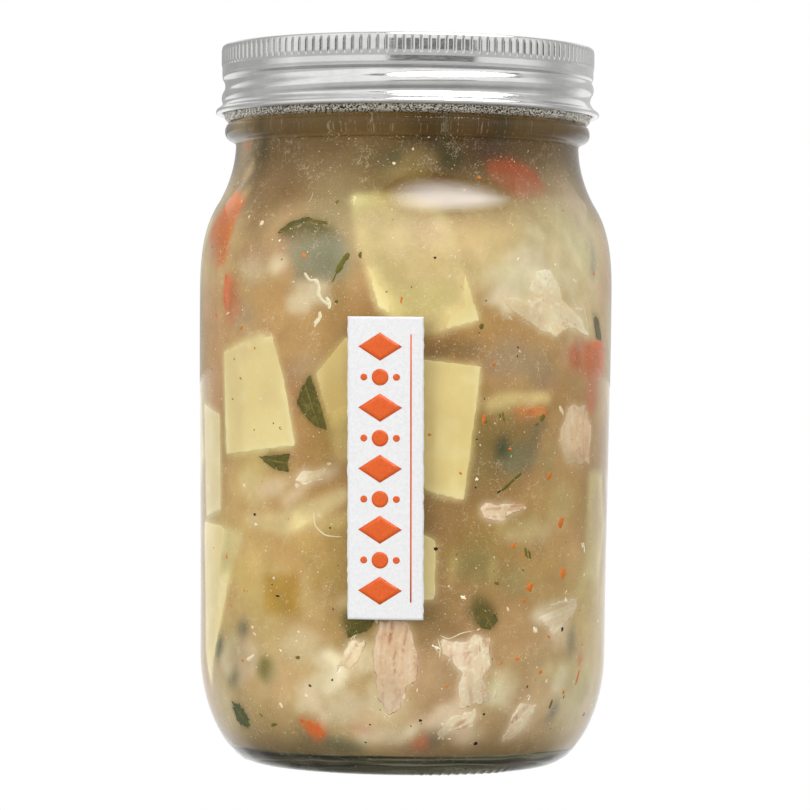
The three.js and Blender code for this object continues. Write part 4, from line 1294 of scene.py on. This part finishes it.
def shreds(dice, per_piece):
    """Torn fibres round the ends and edges of the meat."""
    parts = []
    for lie in meat:
        lean = math.degrees(math.atan2(lie.long[1], lie.long[0]))
        for _ in range(per_piece):
            along = lie.half_length * (0.7 + 0.35 * dice.random()) * dice.choice([-1, 1])
            across = lie.half_width * (2 * dice.random() - 1) * 0.9
            if dice.random() < 0.4:
                along = along * (2 * dice.random() - 1)
                across = lie.half_width * dice.choice([-1.05, 1.05])
            azimuth, height = lie.place(along, across)
            length = 0.8 + 3.2 * dice.random() ** 2
            turn = lean + 35 * (2 * dice.random() - 1)
            width = 0.4 + 0.3 * length * dice.random()
            depth = -PIECE_PROUD + 0.35 * max(0, dice.random() - 0.5)
            shape = lump(dice, math.degrees(azimuth), height, length, width, turn, depth, 0.6, 9, 0.4)
            parts.append((*shape, varied(dice, 0.9 * CHICKEN_TONE, 0.14)))
    return parts


def placed(dice, rows, tone, amount=0.08):
    """A small lump for each row of a table."""
    return [(*lump(dice, *row, sides=11, ragged=0.28), varied(dice, tone, amount)) for row in rows]


def clumps(dice, rows):
    """Curled crumbs of meat: three ragged lumps for each place."""
    parts = []
    for azimuth, height, length, width, turn in rows:
        for _ in range(3):
            u, v = (dice.random(2) - 0.5) * length * 0.7
            size = length * (0.5 + 0.35 * dice.random())
            shape = lump(
                dice, azimuth + math.degrees(u / MEAN_RADIUS), height + v, size, width * 0.7,
                turn + 60 * dice.random(), 0.1 * dice.random() - 0.1, 0.5, 13, 0.55,
            )
            parts.append((*shape, varied(dice, CHICKEN_PALE, 0.1)))
    return parts


def make_bits():
    """Crumbs and flecks on the glass: those placed, then more all round."""
    dice = np.random.default_rng(7)
    pepper = placed(dice, PEPPER_BITS, PEPPER_TONE)
    pepper += scattered(dice, 110, (0.2, 0.7), 0.4, PEPPER_TONE, 0.3)
    herbs = placed(dice, HERB_BITS, HERB_TONE)
    herbs += scattered(dice, 120, (0.5, 2.4), 0.3, HERB_TONE, 0.25)
    carrot = placed(dice, CARROT_BITS, CARROT_CRUMB)
    carrot += scattered(dice, 120, (0.4, 1.8), 0.4, CARROT_CRUMB, 0.15)
    crumbs = clumps(dice, CRUMBS) + shreds(dice, 3)
    crumbs += scattered(dice, 430, (0.3, 1.7), 0.35, CRUMB_TONE, 0.12, power=1.5)
    fat = scattered(dice, 6400, (0.1, 0.46), 0.5, FAT_TONE, 0.12, sides=5)
    make_joined("pepper_flecks", pepper, "leaf")
    make_joined("herb_flecks", herbs, "leaf")
    make_joined("carrot_bits", carrot, "carrot")
    make_joined("meat_crumbs", crumbs, "chicken")
    make_joined("fat_flecks", fat, "noodle")


# Pale strands with crisp edges: their thickness, then [azimuth, height] along them.
STRANDS = [
    (1.4, [(-29.3, 115), (-27.6, 113.2), (-25.6, 113.4), (-24.6, 111.6), (-25, 110), (-23.5, 108.6),
           (-21.5, 107.6)]),
    (1.2, [(-22.5, 109.5), (-21.3, 108.2), (-21.6, 106.8)]),
    (1.3, [(-24.4, 106.2), (-24.2, 104.8), (-25.6, 103.6), (-25.9, 102.6)]),
    (0.5, [(-26, 60.5), (-25.8, 57.5), (-22.5, 55.2), (-17.2, 55)]),
    (0.35, [(10.5, 33), (13, 32), (17, 33.5), (21, 34)]),
    (0.3, [(9.8, 32.5), (10.8, 30), (10.4, 27.5)]),
    (0.5, [(59, 109), (61.5, 105.5), (62.5, 102.5)]),
    (0.5, [(54, 110), (57.5, 106.5), (59.5, 103.5)]),
    (0.16, [(-52, 58), (-48, 61.5), (-43, 64)]),
    (0.14, [(-58, 27), (-52, 33), (-49, 37)]),
    (0.2, [(60, 84), (62, 78), (61, 71)]),
]
RANDOM_STRANDS = 110


def make_strands():
    """Pale strands on the glass: those placed, then short curls all round."""
    dice = np.random.default_rng(12)
    parts = []
    for thickness, places in STRANDS:
        parts.append((*thread(places, thickness), varied(dice, STRAND_TONE, 0.05)))
    for _ in range(RANDOM_STRANDS):
        azimuth, height = anywhere(dice, 9, 142, 1.2)
        turn, run = 2 * math.pi * dice.random(), 1.0 + 5 * dice.random() ** 2
        bow = run * (dice.random() - 0.5)
        places = []
        for t in (-0.5, 0, 0.5):
            right, up = turned(t * run, bow * (0.25 - t * t) * 2, turn)
            places.append((azimuth + math.degrees(right / MEAN_RADIUS), height + up))
        thickness = 0.1 + 0.12 * dice.random() ** 2
        parts.append((*thread(places, thickness), varied(dice, ONION_TONE, 0.1)))
    make_joined("pale_strands", parts, "noodle")


# Green stems pressed on the glass.
STEMS = [
    (1.1, [(28.4, 65.8), (31.4, 67.8), (34.8, 69.8)]),
    (0.5, [(-20.8, 112.8), (-19.6, 115), (-18.8, 116.3)]),
    (1.9, [(-19.6, 115), (-18, 117.4), (-16.2, 119.4)]),
]


def make_stems():
    dice = np.random.default_rng(3)
    parts = [(*thread(places, size), varied(dice, HERB_TONE, 0.1)) for size, places in STEMS]
    make_joined("herb_stems", parts, "leaf")


# Bubbles on the glass: azimuth, height, radius of the ring.
BUBBLES = [
    (-34.5, 121.5, 0.5), (-33, 124.5, 0.6), (-36, 98, 0.55), (-28.5, 98, 0.5), (5.5, 14, 0.9),
    (-20.5, 91.5, 1.9), (1.5, 112, 0.4), (22.5, 80.5, 0.4), (45, 78, 0.5), (13, 53, 0.5),
    (-2, 118, 0.45), (3, 12.5, 0.7),
]
RANDOM_BUBBLES = 60


def make_bubbles():
    dice = np.random.default_rng(9)
    rings = list(BUBBLES)
    for _ in range(RANDOM_BUBBLES):
        azimuth, height = anywhere(dice, 10, 148)
        rings.append((azimuth, height, 0.25 + 0.35 * dice.random()))
    parts = []
    for azimuth, height, radius in rings:
        reach = math.degrees(radius / MEAN_RADIUS)
        turns = np.radians(np.arange(0, 361, 24))
        places = [(azimuth + reach * math.cos(a), height + radius * math.sin(a)) for a in turns]
        parts.append((*thread(places, 0.13), varied(dice, HAZE, 0.1)))
    make_joined("bubble_rims", parts, "noodle")


make_bits()
make_strands()
make_stems()
make_bubbles()

# ------------------------------------------------------------------ noodles at the back

# Sheets of noodle on the glass: azimuth, height, length, width, turn, and how deep the far side
# dips into the broth.
BACK_NOODLES = [
    (224, 124, 22, 17, 25, 1.6), (206, 77, 23, 16, -8, 0.1), (243, 92, 21, 17, 70, 2.2),
    (232, 54, 22, 16, 12, 0.5), (252, 27, 22, 17, -65, 0.1), (188, 28, 21, 17, 8, 2.4),
    (270, 77, 14, 16, 15, 1.4), (267, 122, 15, 17, -12, 0.3),
]
# A sheet's rings, from its hidden back round its edge to the middle of its front: their size
# against the outline, and their depth.
SHEET_RINGS = [(0.02, 1.3), (0.9, 1.3), (1.0, 0.6), (0.99, 0.1), (0.97, -0.1)]
SHEET_RINGS += [(float(size), -0.14) for size in np.linspace(0.94, 0.02, 13)]
SHEET_BOW = 0.07         # how far an edge bends, as a share of its length
SHEET_UNEVEN = 0.34      # how far the corners stray, as a share of their distance
SHEET_CLOUDINESS = 0.3


def sheet_outline(dice, length, width):
    """Four uneven corners joined by slightly bent edges."""
    corners = np.array([(1, 1), (-1, 1), (-1, -1), (1, -1)]) * (length / 2, width / 2)
    corners = corners * (1 + SHEET_UNEVEN * (dice.random((4, 2)) - 0.5))
    share = np.linspace(0, 1, 11)[:-1, None]
    edges = []
    for a, b in zip(corners, np.roll(corners, -1, axis=0)):
        across = np.array([a[1] - b[1], b[0] - a[0]]) * SHEET_BOW * dice.uniform(-1, 1)
        edges.append(a + (b - a) * share + across * 4 * share * (1 - share))
    return np.concatenate(edges)


def make_back_noodles():
    """Broad sheets behind and at the sides, each pressed flat on the glass and partly sunk."""
    dice = np.random.default_rng(17)
    press = KINDS["noodle"][4]
    parts = []
    for index, (middle, level, length, width, turn, dip) in enumerate(BACK_NOODLES):
        outline = sheet_outline(dice, length, width)
        rings = np.concatenate([outline * size for size, _ in SHEET_RINGS])
        depth = np.repeat([deep for _, deep in SHEET_RINGS], len(outline))
        depth = depth + dip * np.clip(0.2 - rings[:, 0] / length, 0, 1) ** 1.3
        u, v = turned(rings[:, 0], rings[:, 1], math.radians(turn))
        azimuth, height = math.radians(middle) + u / MEAN_RADIUS, level + v
        lie = Lie(azimuth, height)
        _, tones = noodle_look(lie, depth, index)
        proud = np.ones(len(depth))
        tones = clouded(tones, lie, azimuth, height, press - depth, proud, SHEET_CLOUDINESS, index)
        faces = grid_faces(len(SHEET_RINGS), len(outline), True)
        last = len(rings) - len(outline)
        faces += [list(range(len(outline)))[::-1], list(range(last, len(rings)))]
        parts.append((on_wall(azimuth, height, depth), faces, tones))
    surfaces.append(make_joined("back_noodles", parts, "noodle"))


make_back_noodles()

# ------------------------------------------------------------------ broth

CLOUDINESS = 2.0         # millimetres of broth that hide 63% of what is behind
RAYS = 28
RAY_SPREAD = 0.4         # tangent of the widest ray's angle
SHADE_SPREAD = 1.8       # the same, for the rays that find what shades the broth
SHADE_STRENGTH = 0.3
SHADE_FADE = 3           # millimetres over which a neighbour's shade fades
RAY_START = -0.2         # the depth at which the rays start, outside the inner face of the glass
TOUCHING = 0.3           # a piece no farther than this along a ray lies on the glass
RAY_LENGTH, SHADE_LENGTH = 9.0, 6.0
BROTH_COLUMNS = 430
BROTH_STEP = 0.7
DEEP_FILTER = np.array([0.99, 0.965, 0.91])     # what a millimetre of broth does to a colour

# Painted shade in the broth's tones:
BEAD_SHADE = 147.0       # a thin dark line, where the glass's bead meets its neck
BEAD_STRENGTH, BEAD_SPREAD = 0.52, 0.3
PAINTED_TOP = 153.0      # above it the band hides the broth
FLOOR_TOP = 5.6          # the broth shows dark up to here, as no light reaches it through the foot
FLOOR_TONE, FLOOR_STREAK, FLOOR_DARK = rgb(96, 92, 64), rgb(164, 162, 132), rgb(44, 42, 26)


def fan(count, spread):
    """Slopes, sideways and upwards, of rays that cover a cone evenly."""
    golden = math.pi * (3 - math.sqrt(5))
    slopes = [spread * math.sqrt((k + 0.5) / count) for k in range(count)]
    return [(r * math.cos(k * golden), r * math.sin(k * golden)) for k, r in enumerate(slopes)]


def painted(azimuth, height):
    """The tone seen at each point of the wall, through the cloudy broth in front of the pieces."""
    points, faces, tones = joined(surfaces)
    tree = BVHTree.FromPolygons(points.tolist(), faces)
    face_tones = tones[[face[0] for face in faces]]
    ahead = fan(RAYS, RAY_SPREAD)
    around = fan(6, SHADE_SPREAD)[1:]
    starts = on_wall(azimuth, height, RAY_START)
    own = broth_tone_and_shade(azimuth, height)
    haze = hazy(own)
    result = np.empty((len(azimuth), 3))
    for i, (start, a) in enumerate(zip(starts.tolist(), azimuth.tolist())):
        sin_a, cos_a = math.sin(a), math.cos(a)
        tone = np.zeros(3)
        for u, v in ahead:
            towards = (-sin_a + u * cos_a, cos_a + u * sin_a, v)
            _, _, face, distance = tree.ray_cast(start, towards, RAY_LENGTH)
            if face is None:
                tone += own[i]
            else:
                depth = max(0.0, distance - TOUCHING)
                seen = math.exp(-depth / CLOUDINESS)
                tone += seen * face_tones[face] * DEEP_FILTER ** depth + (1 - seen) * haze[i]
        shade = 0.0
        for u, v in around:
            towards = (-sin_a + u * cos_a, cos_a + u * sin_a, v)
            _, _, face, distance = tree.ray_cast(start, towards, SHADE_LENGTH)
            if face is not None and distance > 0.5:
                shade += math.exp(-distance / SHADE_FADE)
        result[i] = tone / RAYS * (1 - SHADE_STRENGTH * shade / len(around))
    return result


def blurred(grid, rounds):
    """Tones evened out with those beside, above and below them."""
    for _ in range(rounds):
        grid = (2 * grid + np.roll(grid, 1, axis=1) + np.roll(grid, -1, axis=1)) / 4
        padded = np.concatenate([grid[:1], grid, grid[-1:]])
        grid = (2 * grid + padded[:-2] + padded[2:]) / 4
    return grid


def floor_tones(points):
    """Streaks of dim light under the soup."""
    radius = np.hypot(points[:, 0], points[:, 1])
    spot = np.stack([points[:, 0] * 0.06, points[:, 1] * 0.06, radius * 1.1], axis=-1)
    streaks = noise(spot, 21) + 0.4 * noise(spot * 2.3, 22)
    return tint(
        FLOOR_TONE,
        (0.8 * smoothstep(0.15, 0.8, streaks), FLOOR_STREAK),
        (0.9 * smoothstep(0.1, 0.7, -streaks), FLOOR_DARK),
    )


def make_broth():
    """The soup: one closed solid up to its level, whose wall is painted with what shows in it."""
    heel = FLOOR_EDGE + 1.6 * np.linspace(0.1, 1, 9) ** 1.5
    body = np.arange(heel[-1] + 0.4, SOUP_LEVEL, BROTH_STEP)
    bead = BEAD_SHADE + np.array([-0.35, 0, 0.35])
    wall = np.sort(np.concatenate([heel, body, bead]))
    floor = np.concatenate([np.linspace(0, 28, 8), np.linspace(28.5, FLOOR_RADIUS, 16)])
    profile = [(r, floor_height(r) - GLASS_PROUD) for r in floor]
    profile += [(float(wall_radius(z)) + GLASS_PROUD, z - GLASS_PROUD) for z in wall]
    rim = profile[-1][0]
    profile += [(rim, SOUP_LEVEL), (rim * 0.97, SOUP_LEVEL - 0.2), (0, SOUP_LEVEL - 0.2)]
    points, faces = revolve(profile, BROTH_COLUMNS)
    azimuth, height, _ = wall_places(points)
    tones = broth_tone_and_shade(azimuth, height)
    first = len(floor) * BROTH_COLUMNS
    last = first + int(np.sum(wall < PAINTED_TOP)) * BROTH_COLUMNS
    seen = painted(azimuth[first:last], height[first:last])
    tones[first:last] = blurred(seen.reshape(-1, BROTH_COLUMNS, 3), 3).reshape(-1, 3)
    # Painted shade: a thin dark line under the glass's bead.
    painted_bead_shade = BEAD_STRENGTH * np.exp(-(((height - BEAD_SHADE) / BEAD_SPREAD) ** 2))
    tones *= 1 - painted_bead_shade[:, None]
    low = height < FLOOR_TOP
    tones[low] = floor_tones(points[low])
    make_piece("broth_liquid", points, faces, BROTH, ["broth"], tones)


make_broth()

# ------------------------------------------------------------------ label

LABEL_AZIMUTH = math.radians(-5)
LABEL_BOTTOM, LABEL_HEIGHT, LABEL_WIDTH = 36.5, 68.6, 17.4
INK_TONE = rgb(214, 92, 32)
LABEL_LEAN = 0.0075     # the label leans this much to the left against the jar
PAPER_BACK, PAPER_FRONT = 0.03, 0.16    # their distances from the glass
INK_LIFT, INK_THICKNESS = 0.17, 0.03


def on_label(across, up, lift):
    """Points on the label, from its middle line and its lower edge, lifted off the glass."""
    height = LABEL_BOTTOM + up
    glass = glass_radius(height)
    angle = LABEL_AZIMUTH + (across - LABEL_LEAN * (up - LABEL_HEIGHT / 2)) / glass
    radius = glass + lift
    return np.stack([radius * np.sin(angle), -radius * np.cos(angle), height], axis=-1)


def patch(outline, lift, thickness):
    """A thin closed sheet over the label: a fan from its middle, with its edge cut through."""
    outline = np.array(outline)
    middle = outline.mean(axis=0)
    rings = [middle + (outline - middle) * share for share in (1.0, 0.66, 0.33)]
    flat = np.concatenate(rings + [middle[None]])
    count = len(outline)
    front = on_label(flat[:, 0], flat[:, 1], lift + thickness)
    back = on_label(flat[:, 0], flat[:, 1], lift)
    faces = []
    for ring in range(2):
        for i in range(count):
            j = (i + 1) % count
            a, b = ring * count + i, ring * count + j
            faces.append([a, b, b + count, a + count])
    for i in range(count):
        faces.append([2 * count + i, 2 * count + (i + 1) % count, 3 * count])
    layer = len(flat)
    faces += [[c + layer for c in reversed(face)] for face in faces]
    faces += [[(i + 1) % count, i, i + layer, (i + 1) % count + layer] for i in range(count)]
    return np.concatenate([front, back]), faces


def circle(x, y, radius, sides=28):
    turns = np.arange(sides) * 2 * np.pi / sides
    return [(x + radius * math.cos(a), y + radius * math.sin(a)) for a in turns]


def polygon(corners, steps):
    """Points along straight edges, each cut into steps."""
    return [
        (a[0] + (b[0] - a[0]) * k / steps, a[1] + (b[1] - a[1]) * k / steps)
        for a, b in zip(corners, corners[1:] + corners[:1])
        for k in range(steps)
    ]


def lozenge(x, y, half_width, half_height):
    corners = [(x + half_width, y), (x, y + half_height), (x - half_width, y), (x, y - half_height)]
    return polygon(corners, 5)


def make_label():
    """A sheet of paper that follows the glass, with slightly rough side edges."""
    half = LABEL_WIDTH / 2
    rows = np.linspace(0, LABEL_HEIGHT, 120)
    columns = np.linspace(-half, half, 28)
    up, across = np.meshgrid(rows, columns, indexing="ij")
    rough = 0.12 * noise(np.stack([across.ravel(), up.ravel(), 0 * up.ravel()], axis=-1) * 0.9, 5)
    side = np.abs(across.ravel()) > half - 0.01
    across = across.ravel() + rough * side
    up = up.ravel()
    front = on_label(across, up, PAPER_FRONT)
    back = on_label(across, up, PAPER_BACK)
    faces = grid_faces(len(rows), len(columns), False)
    layer, width = len(up), len(columns)
    faces += [[c + layer for c in reversed(face)] for face in faces]
    loop = list(range(width)) + [i * width + width - 1 for i in range(1, len(rows))]
    loop += [(len(rows) - 1) * width + j for j in range(width - 2, -1, -1)]
    loop += [i * width for i in range(len(rows) - 2, 0, -1)]
    faces += [[b, a, a + layer, b + layer] for a, b in zip(loop, loop[1:] + loop[:1])]
    make_piece("label_sheet", np.concatenate([front, back]), faces, PAPER, ["label"])


MOTIFS, MOTIF_PITCH, LOWEST_MOTIF = 9, 6.9, 6.6
COLUMN_MIDDLE = -1.2     # the column of motifs, from the label's middle line
RULE_LEFT, RULE_RIGHT, RULE_MARGIN = 5.6, 5.95, 4


def make_print():
    """Plain ornament: a column of lozenges and discs, with a thin rule beside it."""
    shapes = []
    for i in range(MOTIFS):
        y = LOWEST_MOTIF + i * MOTIF_PITCH
        if i % 2 == 0:
            shapes.append(lozenge(COLUMN_MIDDLE, y, 5.0, 3.2))
        else:
            shapes.append(circle(COLUMN_MIDDLE, y, 1.9))
            shapes += [circle(x, y, 0.8, 16) for x in (-4.9, 2.5)]
    low, high = RULE_MARGIN, LABEL_HEIGHT - RULE_MARGIN
    rule = [(RULE_RIGHT, low), (RULE_RIGHT, high), (RULE_LEFT, high), (RULE_LEFT, low)]
    shapes.append(polygon(rule, 40))
    parts = [(*patch(shape, INK_LIFT, INK_THICKNESS), INK_TONE) for shape in shapes]
    points, faces, _ = joined(parts)
    make_piece("label_print", points, faces, INK)


make_label()
make_print()
